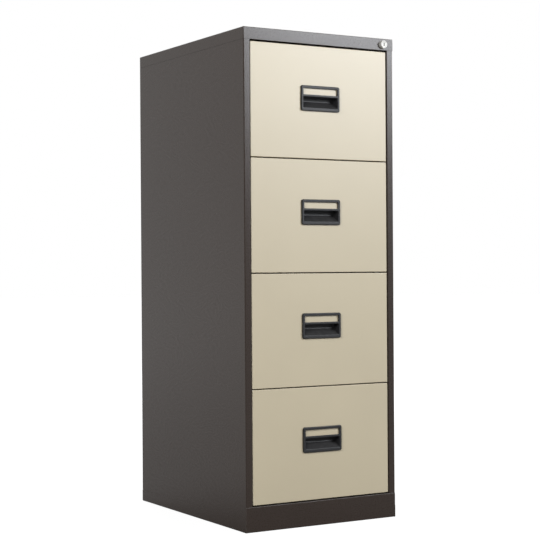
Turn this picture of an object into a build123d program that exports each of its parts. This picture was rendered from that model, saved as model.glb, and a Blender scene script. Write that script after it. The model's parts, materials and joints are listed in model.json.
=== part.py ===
from build123d import *
from math import hypot
import os

# A four-drawer foolscap filing cabinet of folded steel sheet, in millimetres.
# X runs to the right, Y runs to the back and Z runs up. The origin is the centre of the floor
# area that the cabinet covers, and the drawers open towards -Y.

# Overall size
WIDTH = 467.0
DEPTH = 620.0
HEIGHT = 1300.0

# Sheet metal
SHEET = 0.8
STRONG_SHEET = 1.2
SHEET_EDGE = 1.6

# Top cap and base
CAP_FLANGE = 30.0
CAP_LIP = 14.0
PLINTH_HEIGHT = 65.0
PLINTH_LIP = 18.0
BASE_FLANGE = 32.0
FLOOR_FLANGE = 26.0
BACK_LIP = 16.0

# Side panels: the stile is the strip beside the drawers
OPENING_WIDTH = 432.0
STILE_LIP = 12.0
REAR_RETURN = 22.0

# Uprights that carry the runners
UPRIGHT_WIDTH = 40.0
UPRIGHT_FOOT = 8.0
UPRIGHT_BEND = 2.0
UPRIGHT_TOP = 1254.0
UPRIGHT_START = 29.0
REAR_UPRIGHT_INSET = 52.0
SLOT_WIDTH = 3.0
SLOT_MARGIN = 6.0
SLOT_HEIGHT = 12.0
SLOT_PITCH = 18.0
SLOTS_PER_RUNNER = 2

# Drawers
DRAWERS = 4
FIRST_BOTTOM = 68.5
PITCH = 299.7
FRONT_GAP = 3.0
FRONT_WIDTH = 422.0
FRONT_RECESS = 3.0
FRONT_BOX = 20.0
INNER_FRONT_FLANGE = 12.0
TRAY_LIFT = 12.0
TRAY_SIDE = 240.0
TRAY_BACK = 215.0
TRAY_LENGTH = 571.0
TRAY_BACK_LIP = 12.0
TRAY_FRONT_FLANGE = 14.0
RAIL_WIDTH = 8.0
RAIL_DROP = 10.0

# Telescopic runners, one pair for each drawer
RUNNER_THICKNESS = 12.7
RUNNER_HEIGHT = 45.0
RUNNER_LENGTH = 540.0
RUNNER_LIFT = 62.0
RUNNER_START = 37.0
RUNNER_BEND = 2.2
MIDDLE_HEIGHT = 35.4
MIDDLE_BACK = 10.4
MIDDLE_LIP = 2.0
INNER_HEIGHT = 24.4
INNER_DEPTH = 8.0
OUTER_LIP = 3.0

# Moulded handle with a label window and a finger recess
HANDLE_WIDTH = 119.5
HANDLE_HEIGHT = 67.0
HANDLE_PROUD = 4.5
HANDLE_DROP = 104.6
HANDLE_CORNER = 5.0
HANDLE_BEVEL = 1.8
WINDOW_WIDTH = 106.0
WINDOW_HEIGHT = 17.0
WINDOW_DROP = 7.0
WINDOW_CORNER = 1.0
GRIP_BAR = 5.5
RECESS_WIDTH = 107.0
RECESS_HEIGHT = 29.0
RECESS_DEPTH = 21.0
RECESS_DRAFT = 4.5
RECESS_FOLD = 14.0
RECESS_SCOOP = 6.0
RECESS_CORNER = 2.5
MOULD_WALL = 2.0
GRIP_UNDERCUT = 2.5
CUT_CLEARANCE = 0.4
LUG_HEIGHT = 12.0
LUG_LENGTH = 5.0
LUG_REACH = 2.0

# Push lock in the cap's front, and the linkage to the lock bar
LOCK_X = 199.8
LOCK_Z = 1283.8
LOCK_PROUD = 8.5
LOCK_HEAD_RADIUS = 10.5
LOCK_HEAD_LENGTH = 22.0
LOCK_ROD_SIZE = 7.0
LOCK_ROD_NOSE = 2.0
LOCK_ROD_TAPER = 3.0
RUNNING_GAP = 0.05
SLEEVE_RADIUS = 11.7
SLEEVE_LENGTH = 18.0
SLEEVE_PROUD = 1.0
CLIP_THICKNESS = 1.5
CLIP_WIDTH = 30.0
CLIP_ABOVE = 13.2
CLIP_BELOW = 11.5
PLUG_RADIUS = 6.5
PLUG_LENGTH = 14.0
PLUG_SET_BACK = 0.4
PLUG_END_GAP = 0.4
KEY_SLOT_WIDTH = 2.2
KEY_SLOT_HEIGHT = 8.0
KEY_SLOT_DEPTH = 10.0

PIVOT_Y = -262.0
PIVOT_Z = 1261.8
PIVOT_RADIUS = 3.0
CRANK_HUB_RADIUS = 5.5
CRANK_PLATE = 2.5
CRANK_ARM_WIDTH = 10.0
CRANK_TONGUE_WIDTH = 5.0
CRANK_GAP = 0.4
CRANK_OVERHANG = 1.5
BRACKET_SHEET = 2.0
BRACKET_BEND = 3.0
BRACKET_LENGTH = 20.0
BRACKET_LEFT = 191.8
BRACKET_RIGHT = 229.6
BRACKET_EAR_DROP = 7.0
PIN_END = 0.6

BAR_LEFT = 217.6
BAR_WIDTH = 10.0
BAR_THICKNESS = 2.5
BAR_GAP = 0.5
BAR_BOTTOM = 250.0
BAR_TOP = 1271.0
BAR_SLOT_MARGIN = 0.5
BAR_SLOT_BELOW = 1.6
HOOK_LEFT = 205.0
HOOK_SHEET = 1.6
HOOK_ARM_HEIGHT = 9.0
HOOK_TOOTH_WIDTH = 8.0
HOOK_TOOTH_RISE = 11.0
HOOK_BACK_HEIGHT = 24.0
CATCH_LIFT = 226.0
CATCH_CLEARANCE = 1.6
CATCH_HEIGHT = 14.0
CATCH_REACH = 10.0
CATCH_LEG = 14.0
CATCH_SHEET = 2.5
CATCH_BEND = 3.0
CATCH_PLAY = 1.0
GUIDE_SHEET = 1.2
GUIDE_BEND = 1.6
GUIDE_HEIGHT = 14.0
GUIDE_HEIGHTS = (310.0, 760.0, 1215.0)

# Derived places
HALF_WIDTH = WIDTH / 2
HALF_DEPTH = DEPTH / 2
PANEL_X = HALF_WIDTH - SHEET
INSIDE_X = PANEL_X - SHEET
OPENING_X = OPENING_WIDTH / 2
STILE_Y = -HALF_DEPTH + SHEET
BACK_Y = HALF_DEPTH - SHEET
CAP_UNDER = HEIGHT - SHEET
OPENING_TOP = HEIGHT - CAP_FLANGE
FRONT_HEIGHT = PITCH - FRONT_GAP
FACE_Y = STILE_Y + FRONT_RECESS
FRONT_BACK_Y = FACE_Y + FRONT_BOX
HANDLE_Y = FACE_Y - HANDLE_PROUD
TRAY_X = OPENING_X - RUNNER_THICKNESS
RUNNER_Y = -HALF_DEPTH + RUNNER_START
UPRIGHT_Y = -HALF_DEPTH + UPRIGHT_START
BAR_BACK_Y = UPRIGHT_Y - BAR_GAP
BAR_FRONT_Y = BAR_BACK_Y - BAR_THICKNESS
CATCH_Y = BAR_FRONT_Y + CATCH_PLAY
BAR_RIGHT = BAR_LEFT + BAR_WIDTH
BAR_MIDDLE = BAR_LEFT + BAR_WIDTH / 2


def drawer_bottom(number):
    """Height of the lower edge of a drawer's front; drawer 1 is the top one."""
    return FIRST_BOTTOM + PITCH * (DRAWERS - number)


def drawer_numbers():
    """Drawer numbers from the top down."""
    return range(1, DRAWERS + 1)


def runner_height(number):
    """Height of the middle of a drawer's runners."""
    return drawer_bottom(number) + RUNNER_LIFT


def handle_top(number):
    """Height of the upper edge of a drawer's handle."""
    return drawer_bottom(number) + FRONT_HEIGHT - HANDLE_DROP


def recess_bottom(number):
    """Height of the lower edge of the finger recess, at the handle's face."""
    return handle_top(number) - WINDOW_DROP - WINDOW_HEIGHT - GRIP_BAR - RECESS_HEIGHT


def along(axis, outline, start, end):
    """Pushes a flat outline, drawn in the two other axes, from start to end along an axis."""
    plane = {"X": Plane.YZ, "Y": Plane.XZ, "Z": Plane.XY}[axis]
    direction = {"X": (1, 0, 0), "Y": (0, 1, 0), "Z": (0, 0, 1)}[axis]
    placed = Pos(*(start * part for part in direction)) * (plane * outline)
    return extrude(placed, amount=end - start, dir=direction)


def rectangle(low_u, high_u, low_v, high_v):
    """A rectangle between two corners of the drawing plane."""
    centre = Pos((low_u + high_u) / 2, (low_v + high_v) / 2)
    return centre * Rectangle(high_u - low_u, high_v - low_v)


def block(x, y, z):
    """A rectangular block, from its low and high value on each axis."""
    return along("Z", rectangle(*x, *y), *z)


def unit(start, end):
    """Direction from one point to another, of length one."""
    length = hypot(end[0] - start[0], end[1] - start[1])
    return (end[0] - start[0]) / length, (end[1] - start[1]) / length


def offset_left(points, distance):
    """The corners of a path moved to its left by a distance, mitred at each bend."""
    steps = [unit(a, b) for a, b in zip(points, points[1:])]
    normals = [(-dv, du) for du, dv in steps]
    ends = [normals[0], *normals, normals[-1]]
    moved = []
    for (u, v), (before_u, before_v), (after_u, after_v) in zip(points, ends, ends[1:]):
        share = distance / (1 + before_u * after_u + before_v * after_v)
        moved.append((u + share * (before_u + after_u), v + share * (before_v + after_v)))
    return moved


def bend_radii(points, radius):
    """Radii at each bend of the path's own side and of its left side; the inside stays sharp."""
    radii = []
    for a, b, c in zip(points, points[1:], points[2:]):
        turns_left = (b[0] - a[0]) * (c[1] - b[1]) - (b[1] - a[1]) * (c[0] - b[0]) > 0
        radii.append((radius, 0) if turns_left else (0, radius))
    return radii


def folded(points, thickness=SHEET, radius=SHEET_EDGE):
    """Section of a folded sheet: the path is one face, and the metal lies on its left."""
    other = offset_left(points, thickness)
    radii = bend_radii(points, radius)
    near = FilletPolyline(*points, radius=[pair[0] for pair in radii])
    far = FilletPolyline(*other, radius=[pair[1] for pair in radii])
    ends = Line(points[0], other[0]) + Line(points[-1], other[-1])
    return make_face(near + far + ends)


def right_hand(shape):
    """The same shape on the other side of the cabinet."""
    return mirror(shape, about=Plane.YZ)


def cylinder_y(x, z, radius, start, end):
    """A round bar along Y."""
    return along("Y", Pos(x, z) * Circle(radius), start, end)


def cylinder_x(y, z, radius, start, end):
    """A round bar along X."""
    return along("X", Pos(y, z) * Circle(radius), start, end)


def top_cap():
    """Lid with flanges down all four sides, a lip under the front one and the lock's hole."""
    lid = block((-HALF_WIDTH, HALF_WIDTH), (-HALF_DEPTH, HALF_DEPTH), (OPENING_TOP, HEIGHT))
    lid = fillet(lid.faces().sort_by(Axis.Z)[-1].edges(), SHEET_EDGE)
    hollow = block((-PANEL_X, PANEL_X), (STILE_Y, BACK_Y), (OPENING_TOP - 1, CAP_UNDER))
    lip_x = OPENING_X - SHEET
    bend_top = OPENING_TOP + 2 * SHEET_EDGE
    bend_zone = block((-lip_x, lip_x), (-HALF_DEPTH - 1, STILE_Y), (OPENING_TOP - 1, bend_top))
    lip_path = [
        (-HALF_DEPTH, bend_top),
        (-HALF_DEPTH, OPENING_TOP),
        (STILE_Y + CAP_LIP, OPENING_TOP),
    ]
    lip = along("X", folded(lip_path), -lip_x, lip_x)
    hole = cylinder_y(LOCK_X, LOCK_Z, SLEEVE_RADIUS, -HALF_DEPTH - 1, STILE_Y + 1)
    return lid - hollow - bend_zone + lip - hole


def left_side_panel():
    """Side sheet with the stile and its lip in front and a return behind."""
    path = [
        (-PANEL_X + REAR_RETURN, BACK_Y),
        (-PANEL_X, BACK_Y),
        (-PANEL_X, STILE_Y),
        (-OPENING_X, STILE_Y),
        (-OPENING_X, STILE_Y + STILE_LIP),
    ]
    panel = along("Z", folded(path), SHEET, CAP_UNDER)
    beside_plinth = (0, PLINTH_HEIGHT)
    front_sheet = block((-WIDTH, -OPENING_X + 1), (STILE_Y - 1, STILE_Y + SHEET), beside_plinth)
    stile_foot = block((-INSIDE_X, -OPENING_X + 1), (STILE_Y - 1, STILE_Y + STILE_LIP + 1), beside_plinth)
    return panel - front_sheet - stile_foot


def back_panel():
    """Back sheet between the flanges of the cap and the base, folded in along top and bottom."""
    path = [
        (HALF_DEPTH - BACK_LIP, BASE_FLANGE),
        (HALF_DEPTH, BASE_FLANGE),
        (HALF_DEPTH, OPENING_TOP),
        (HALF_DEPTH - BACK_LIP, OPENING_TOP),
    ]
    sheet = along("X", folded(path), -PANEL_X, PANEL_X)
    inner_edge = PANEL_X - REAR_RETURN - SHEET
    for side in (-1, 1):
        beyond = sorted((side * inner_edge, side * WIDTH))
        sheet -= block(beyond, (0, BACK_Y), (BASE_FLANGE - 1, OPENING_TOP + 1))
    return sheet


def base_plinth():
    """Base frame: tall plinth in front, low flanges beside and behind, all turned in at the floor."""
    front_path = [
        (STILE_Y + PLINTH_LIP, PLINTH_HEIGHT),
        (STILE_Y, PLINTH_HEIGHT),
        (STILE_Y, 0),
        (STILE_Y + FLOOR_FLANGE, 0),
    ]
    side_path = [(-HALF_WIDTH, BASE_FLANGE), (-HALF_WIDTH, 0), (-HALF_WIDTH + FLOOR_FLANGE, 0)]
    rear_path = [(HALF_DEPTH - FLOOR_FLANGE, 0), (HALF_DEPTH, 0), (HALF_DEPTH, BASE_FLANGE)]
    front = along("X", folded(front_path), -PANEL_X, PANEL_X)
    for side in (-1, 1):
        side_sheet = sorted((side * INSIDE_X, side * WIDTH))
        front -= block(side_sheet, (STILE_Y + SHEET, 0), (SHEET, PLINTH_HEIGHT + 1))
    side = along("Y", folded(side_path), STILE_Y, HALF_DEPTH)
    rear = along("X", folded(rear_path), -PANEL_X, PANEL_X)
    return front + side + right_hand(side) + rear


def left_upright(front_y):
    """Hat-section upright on the left side, with slots for the runners' hooks."""
    back_y = front_y + UPRIGHT_WIDTH
    foot_x = -INSIDE_X + STRONG_SHEET
    path = [
        (foot_x, front_y - UPRIGHT_FOOT),
        (foot_x, front_y),
        (-OPENING_X, front_y),
        (-OPENING_X, back_y),
        (foot_x, back_y),
        (foot_x, back_y + UPRIGHT_FOOT),
    ]
    channel = along("Z", folded(path, STRONG_SHEET, UPRIGHT_BEND), SHEET, UPRIGHT_TOP)
    middle_y = front_y + UPRIGHT_WIDTH / 2
    half_slot = SLOT_WIDTH / 2
    for number in drawer_numbers():
        for step in range(SLOTS_PER_RUNNER):
            low = runner_height(number) + RUNNER_HEIGHT / 2 + SLOT_MARGIN + step * SLOT_PITCH
            slot = rectangle(middle_y - half_slot, middle_y + half_slot, low, low + SLOT_HEIGHT)
            channel -= along("X", slot, -OPENING_X - STRONG_SHEET - 1, -OPENING_X + 1)
    return channel


def runner_member(height, open_x, web_x, centre):
    """One channel of a right-hand runner, from its open side to its web, at a height."""
    half = height / 2
    low = centre - half
    high = centre + half
    if web_x > open_x:
        path = [(open_x, low), (web_x, low), (web_x, high), (open_x, high)]
    else:
        path = [(open_x, high), (web_x, high), (web_x, low), (open_x, low)]
    return along("Y", folded(path, STRONG_SHEET, RUNNER_BEND), RUNNER_Y, RUNNER_Y + RUNNER_LENGTH)


def pair(shape):
    """A right-hand piece and its mirror image on the left, as two solids of one node."""
    return Compound([shape, right_hand(shape)])


def cabinet_runners(number):
    """Fixed outer members of a drawer's runners, on the uprights."""
    return pair(runner_member(RUNNER_HEIGHT, TRAY_X + OUTER_LIP, OPENING_X, runner_height(number)))


def middle_runners(number):
    """Middle members, which travel half as far as the drawer."""
    return pair(
        runner_member(MIDDLE_HEIGHT, TRAY_X + MIDDLE_LIP, TRAY_X + MIDDLE_BACK, runner_height(number))
    )


def drawer_runners(number):
    """Inner members, on the sides of the tray."""
    return pair(runner_member(INNER_HEIGHT, TRAY_X + INNER_DEPTH, TRAY_X, runner_height(number)))


def drawer_front(number):
    """Outer skin of a drawer's front: a shallow pan, open behind, with the handle's cut-out."""
    low = drawer_bottom(number)
    high = low + FRONT_HEIGHT
    half = FRONT_WIDTH / 2
    pan = block((-half, half), (FACE_Y, FRONT_BACK_Y), (low, high))
    pan = fillet(pan.faces().sort_by(Axis.Y)[0].edges(), SHEET_EDGE)
    hollow = block(
        (-half + SHEET, half - SHEET),
        (FACE_Y + SHEET, FRONT_BACK_Y + 1),
        (low + SHEET, high - SHEET),
    )
    cut_out = along("Y", handle_cut_out(number), FACE_Y - 1, FACE_Y + SHEET + 1)
    return pan - hollow - cut_out


def handle_cut_out(number):
    """Outline of the hole that the handle's moulded cup goes through."""
    half = RECESS_WIDTH / 2 + MOULD_WALL + CUT_CLEARANCE
    low = recess_bottom(number)
    high = low + RECESS_HEIGHT + GRIP_UNDERCUT + MOULD_WALL + CUT_CLEARANCE
    return rectangle(-half, half, low - CUT_CLEARANCE, high)


def inner_front(number):
    """Inner skin that closes the back of the drawer's front."""
    low = drawer_bottom(number) + SHEET
    high = drawer_bottom(number) + FRONT_HEIGHT - SHEET
    half = FRONT_WIDTH / 2 - SHEET
    front_y = FRONT_BACK_Y - INNER_FRONT_FLANGE
    pan = block((-half, half), (front_y, FRONT_BACK_Y), (low, high))
    hollow = block(
        (-half + SHEET, half - SHEET),
        (front_y - 1, FRONT_BACK_Y - SHEET),
        (low + SHEET, high - SHEET),
    )
    return pan - hollow


def drawer_tray(number):
    """Folded tray: floor, sides with file rails along their top, a back and front flanges."""
    low = drawer_bottom(number) + TRAY_LIFT
    high = low + TRAY_SIDE
    rail_x = TRAY_X - RAIL_WIDTH
    path = [
        (-rail_x, high - RAIL_DROP),
        (-rail_x, high),
        (-TRAY_X, high),
        (-TRAY_X, low),
        (TRAY_X, low),
        (TRAY_X, high),
        (rail_x, high),
        (rail_x, high - RAIL_DROP),
    ]
    end_y = FRONT_BACK_Y + TRAY_LENGTH
    shell = along("Y", folded(path), FRONT_BACK_Y, end_y)
    inside_x = TRAY_X - SHEET
    back_path = [
        (end_y, low + SHEET),
        (end_y, low + TRAY_BACK),
        (end_y - TRAY_BACK_LIP, low + TRAY_BACK),
    ]
    back = along("X", folded(back_path), -inside_x, inside_x)
    flange_top = high - RAIL_DROP - SHEET
    clear_x = inside_x - TRAY_FRONT_FLANGE
    flange = rectangle(-inside_x, inside_x, low + SHEET, flange_top)
    flange -= rectangle(-clear_x, clear_x, low + SHEET + TRAY_FRONT_FLANGE, flange_top + 1)
    front = along("Y", flange, FRONT_BACK_Y, FRONT_BACK_Y + SHEET)
    return shell + back + front


def handle_cup(half_front, wall, deepest, low, low_back, high, start):
    """Wedge-shaped cup behind the handle's face: its side outline cut to its plan outline."""
    side_outline = make_face(
        Polyline((start, low), (deepest, low_back), (deepest, high), (start, high), close=True)
    )
    side = along("X", side_outline, -HANDLE_WIDTH / 2, HANDLE_WIDTH / 2)
    slope = RECESS_DRAFT / RECESS_DEPTH
    front_half = half_front + wall - slope * (start - HANDLE_Y)
    back_half = half_front + wall - slope * (deepest - HANDLE_Y)
    plan = make_face(
        Polyline(
            (-front_half, start), (front_half, start), (back_half, deepest), (-back_half, deepest), close=True
        )
    )
    return side & along("Z", plan, low - PITCH, high + PITCH)


def deep_edges(void):
    """The edges along X at the back of the recess, from the lowest up."""
    return void.faces().sort_by(Axis.Y)[-1].edges().filter_by(Axis.X).sort_by(Axis.Z)


def handle(number):
    """Moulded handle: bevelled frame with a label window above a cup for the fingers."""
    top = handle_top(number)
    bottom = top - HANDLE_HEIGHT
    outline = Pos(0, (top + bottom) / 2) * RectangleRounded(HANDLE_WIDTH, HANDLE_HEIGHT, HANDLE_CORNER)
    frame = along("Y", outline, HANDLE_Y, FACE_Y)
    frame = chamfer(frame.faces().sort_by(Axis.Y)[0].outer_wire().edges(), HANDLE_BEVEL)
    window_z = top - WINDOW_DROP - WINDOW_HEIGHT / 2
    window = Pos(0, window_z) * RectangleRounded(WINDOW_WIDTH, WINDOW_HEIGHT, WINDOW_CORNER)
    frame -= along("Y", window, HANDLE_Y - 1, FACE_Y + 1)

    floor = recess_bottom(number)
    ceiling = floor + RECESS_HEIGHT
    rise = RECESS_FOLD / RECESS_DEPTH
    inside_y = HANDLE_Y + RECESS_DEPTH
    wall_drop = MOULD_WALL * hypot(1, rise)
    outer_start = floor + rise * HANDLE_PROUD - wall_drop
    outer_back = floor + rise * (RECESS_DEPTH + MOULD_WALL) - wall_drop
    cup = handle_cup(
        RECESS_WIDTH / 2,
        MOULD_WALL,
        inside_y + MOULD_WALL,
        outer_start,
        outer_back,
        ceiling + GRIP_UNDERCUT + MOULD_WALL,
        FACE_Y,
    )
    mouth_y = HANDLE_Y - 1
    void = handle_cup(
        RECESS_WIDTH / 2, 0, inside_y, floor - rise, floor + RECESS_FOLD, ceiling, mouth_y
    )
    undercut = handle_cup(
        RECESS_WIDTH / 2, 0, inside_y, ceiling - 1, ceiling - 1, ceiling + GRIP_UNDERCUT, FACE_Y
    )
    void += undercut
    void = fillet(deep_edges(void)[-1], RECESS_CORNER)
    void = fillet(deep_edges(void)[0], RECESS_SCOOP)
    return frame + cup + handle_lugs(number) - void


def handle_lugs(number):
    """Snap lugs at both ends of the cup, which hold the handle behind the front's skin."""
    lug_low = recess_bottom(number) + RECESS_HEIGHT - LUG_HEIGHT
    start = FACE_Y + SHEET + CUT_CLEARANCE / 2
    slope = RECESS_DRAFT / RECESS_DEPTH
    wall_x = RECESS_WIDTH / 2 + MOULD_WALL - slope * (start - HANDLE_Y)
    end_x = wall_x - slope * LUG_LENGTH
    end_y = start + LUG_LENGTH
    corners = [
        (wall_x - 1, start),
        (wall_x + LUG_REACH, start),
        (end_x, end_y),
        (end_x - 1, end_y),
    ]
    lug = along("Z", make_face(Polyline(*corners, close=True)), lug_low, lug_low + LUG_HEIGHT)
    return lug + right_hand(lug)


def lock_catch(number):
    """Angle on the right side of a tray, whose leg stands in the way of the lock bar's hook."""
    low = drawer_bottom(number) + CATCH_LIFT
    path = [
        (TRAY_X, CATCH_Y + CATCH_LEG),
        (TRAY_X, CATCH_Y),
        (TRAY_X + CATCH_REACH, CATCH_Y),
    ]
    return along("Z", folded(path, CATCH_SHEET, CATCH_BEND), low, low + CATCH_HEIGHT)


def lock_housing():
    """Sleeve through the cap's flange, which stands out as a thin ring and guides the head."""
    start = -HALF_DEPTH - SLEEVE_PROUD
    ring = Circle(SLEEVE_RADIUS) - Circle(LOCK_HEAD_RADIUS + RUNNING_GAP)
    return along("Y", Pos(LOCK_X, LOCK_Z) * ring, start, start + SLEEVE_LENGTH)


def lock_clip():
    """Fork-shaped spring clip pushed over the sleeve behind the flange."""
    half = CLIP_WIDTH / 2
    low = LOCK_Z - CLIP_BELOW
    high = LOCK_Z + CLIP_ABOVE
    plate = rectangle(LOCK_X - half, LOCK_X + half, low, high)
    throat = SLEEVE_RADIUS
    plate -= rectangle(LOCK_X - throat, LOCK_X + throat, low - 1, LOCK_Z + SLEEVE_RADIUS)
    return along("Y", plate, STILE_Y, STILE_Y + CLIP_THICKNESS)


def lock_barrel():
    """Push-in lock body: a polished head, a bore for the key plug and a rod to the crank."""
    front_y = -HALF_DEPTH - LOCK_PROUD
    head_end = front_y + LOCK_HEAD_LENGTH
    head = cylinder_y(LOCK_X, LOCK_Z, LOCK_HEAD_RADIUS, front_y, head_end)
    half = LOCK_ROD_SIZE / 2
    nose = LOCK_ROD_NOSE / 2
    tip_y = crank_face_y() - CRANK_GAP
    rod_corners = [
        (head_end, LOCK_Z - half),
        (tip_y - LOCK_ROD_TAPER, LOCK_Z - half),
        (tip_y, LOCK_Z - nose),
        (tip_y, LOCK_Z + nose),
        (tip_y - LOCK_ROD_TAPER, LOCK_Z + half),
        (head_end, LOCK_Z + half),
    ]
    rod = along("X", make_face(Polyline(*rod_corners, close=True)), LOCK_X - half, LOCK_X + half)
    bore = cylinder_y(
        LOCK_X, LOCK_Z, PLUG_RADIUS + RUNNING_GAP, front_y - 1, front_y + PLUG_LENGTH + PLUG_END_GAP
    )
    return head + rod - bore


def lock_plug():
    """Key plug that turns in the barrel, with the slot for the key."""
    front_y = -HALF_DEPTH - LOCK_PROUD
    plug = cylinder_y(LOCK_X, LOCK_Z, PLUG_RADIUS, front_y + PLUG_SET_BACK, front_y + PLUG_LENGTH)
    half_width = KEY_SLOT_WIDTH / 2
    half_height = KEY_SLOT_HEIGHT / 2
    slot = rectangle(LOCK_X - half_width, LOCK_X + half_width, LOCK_Z - half_height, LOCK_Z + half_height)
    return plug - along("Y", slot, front_y - 1, front_y + KEY_SLOT_DEPTH)


def crank_face_y():
    """Where the crank's upright plate meets the end of the lock's rod."""
    return PIVOT_Y - CRANK_PLATE / 2


def lock_crank():
    """Bell crank: a plate that the lock pushes, a hub on the pivot and a tongue under the bar."""
    hub_left = LOCK_X - CRANK_ARM_WIDTH / 2
    hub_right = BAR_MIDDLE + CRANK_TONGUE_WIDTH / 2
    hub = cylinder_x(PIVOT_Y, PIVOT_Z, CRANK_HUB_RADIUS, hub_left, hub_right)
    plate = rectangle(crank_face_y(), crank_face_y() + CRANK_PLATE, PIVOT_Z, LOCK_Z + LOCK_ROD_SIZE / 2)
    arm = along("X", plate, hub_left, hub_left + CRANK_ARM_WIDTH)
    tongue_end = BAR_FRONT_Y - CRANK_OVERHANG
    half = CRANK_PLATE / 2
    tongue_outline = rectangle(tongue_end, PIVOT_Y, PIVOT_Z - half, PIVOT_Z + half)
    tongue = along("X", tongue_outline, hub_right - CRANK_TONGUE_WIDTH, hub_right)
    bore = cylinder_x(PIVOT_Y, PIVOT_Z, PIVOT_RADIUS + RUNNING_GAP, hub_left - 1, hub_right + 1)
    return hub + arm + tongue - bore


def crank_bracket():
    """U-shaped bracket under the cap, whose ears hold the pivot pin."""
    low = PIVOT_Z - BRACKET_EAR_DROP
    path = [
        (BRACKET_RIGHT, low),
        (BRACKET_RIGHT, CAP_UNDER),
        (BRACKET_LEFT, CAP_UNDER),
        (BRACKET_LEFT, low),
    ]
    half = BRACKET_LENGTH / 2
    bracket = along("Y", folded(path, BRACKET_SHEET, BRACKET_BEND), PIVOT_Y - half, PIVOT_Y + half)
    return bracket - cylinder_x(PIVOT_Y, PIVOT_Z, PIVOT_RADIUS, BRACKET_LEFT - 1, BRACKET_RIGHT + 1)


def crank_pin():
    """Pivot pin through the bracket's ears."""
    return cylinder_x(PIVOT_Y, PIVOT_Z, PIVOT_RADIUS, BRACKET_LEFT - PIN_END, BRACKET_RIGHT + PIN_END)


def lock_bar():
    """Flat bar behind the right stile, which the crank lifts by a slot near its top."""
    bar = rectangle(BAR_LEFT, BAR_RIGHT, BAR_BOTTOM, BAR_TOP)
    half_width = CRANK_TONGUE_WIDTH / 2 + BAR_SLOT_MARGIN
    low = PIVOT_Z - CRANK_PLATE / 2 - BAR_SLOT_BELOW
    high = PIVOT_Z + CRANK_PLATE / 2 + CRANK_GAP
    bar -= rectangle(BAR_MIDDLE - half_width, BAR_MIDDLE + half_width, low, high)
    return along("Y", bar, BAR_FRONT_Y, BAR_BACK_Y)


def hook_top(number):
    """Height of a hook's tip with the lock open, just under the drawer's catch."""
    return drawer_bottom(number) + CATCH_LIFT - CATCH_CLEARANCE


def lock_hooks():
    """Four hooks riveted to the front of the bar, one for each drawer."""
    hooks = []
    for number in drawer_numbers():
        tip = hook_top(number)
        arm_low = tip - HOOK_TOOTH_RISE - HOOK_ARM_HEIGHT
        outline = Polyline(
            (HOOK_LEFT, tip),
            (HOOK_LEFT, arm_low),
            (BAR_RIGHT, arm_low),
            (BAR_RIGHT, arm_low + HOOK_BACK_HEIGHT),
            (BAR_LEFT, arm_low + HOOK_BACK_HEIGHT),
            (BAR_LEFT, arm_low + HOOK_ARM_HEIGHT),
            (HOOK_LEFT + HOOK_TOOTH_WIDTH, arm_low + HOOK_ARM_HEIGHT),
            (HOOK_LEFT + HOOK_TOOTH_WIDTH, tip),
            close=True,
        )
        hooks.append(along("Y", make_face(outline), BAR_FRONT_Y - HOOK_SHEET, BAR_FRONT_Y))
    return Compound(hooks)


def lock_bar_guides():
    """Staples on the front right upright, in which the bar slides."""
    left = BAR_LEFT - BAR_GAP
    right = BAR_RIGHT + BAR_GAP
    front = BAR_FRONT_Y - BAR_GAP
    path = [
        (left - GUIDE_SHEET, UPRIGHT_Y),
        (left - GUIDE_SHEET, front - GUIDE_SHEET),
        (right + GUIDE_SHEET, front - GUIDE_SHEET),
        (right + GUIDE_SHEET, UPRIGHT_Y),
    ]
    staple = folded(path, GUIDE_SHEET, GUIDE_BEND)
    return Compound([along("Z", staple, height, height + GUIDE_HEIGHT) for height in GUIDE_HEIGHTS])


def carcass():
    """Pieces that stand still."""
    rear_y = HALF_DEPTH - REAR_UPRIGHT_INSET - UPRIGHT_WIDTH
    front_upright = left_upright(UPRIGHT_Y)
    rear_upright = left_upright(rear_y)
    side = left_side_panel()
    return {
        "top_cap": top_cap(),
        "left_side_panel": side,
        "right_side_panel": right_hand(side),
        "back_panel": back_panel(),
        "base_plinth": base_plinth(),
        "front_left_upright": front_upright,
        "front_right_upright": right_hand(front_upright),
        "rear_left_upright": rear_upright,
        "rear_right_upright": right_hand(rear_upright),
    }


def lock():
    """Pieces of the push lock and its linkage."""
    return {
        "lock_housing": lock_housing(),
        "lock_clip": lock_clip(),
        "lock_barrel": lock_barrel(),
        "lock_plug": lock_plug(),
        "lock_crank": lock_crank(),
        "crank_bracket": crank_bracket(),
        "crank_pin": crank_pin(),
        "lock_bar": lock_bar(),
        "lock_hooks": lock_hooks(),
        "lock_bar_guides": lock_bar_guides(),
    }


def drawer(number):
    """Pieces of one drawer and its runners."""
    name = f"drawer_{number}"
    return {
        f"{name}_front": drawer_front(number),
        f"{name}_inner_front": inner_front(number),
        f"{name}_tray": drawer_tray(number),
        f"{name}_handle": handle(number),
        f"{name}_lock_catch": lock_catch(number),
        f"{name}_drawer_runners": drawer_runners(number),
        f"{name}_middle_runners": middle_runners(number),
        f"{name}_cabinet_runners": cabinet_runners(number),
    }


pieces = carcass() | lock()
for drawer_number in drawer_numbers():
    pieces |= drawer(drawer_number)
os.makedirs("parts", exist_ok=True)
for node, piece in pieces.items():
    export_step(piece, f"parts/{node}.step")
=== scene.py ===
import json
import logging
import math
from collections.abc import Callable, Iterable, Sequence
from dataclasses import dataclass, field
from enum import Enum
from functools import reduce

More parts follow.
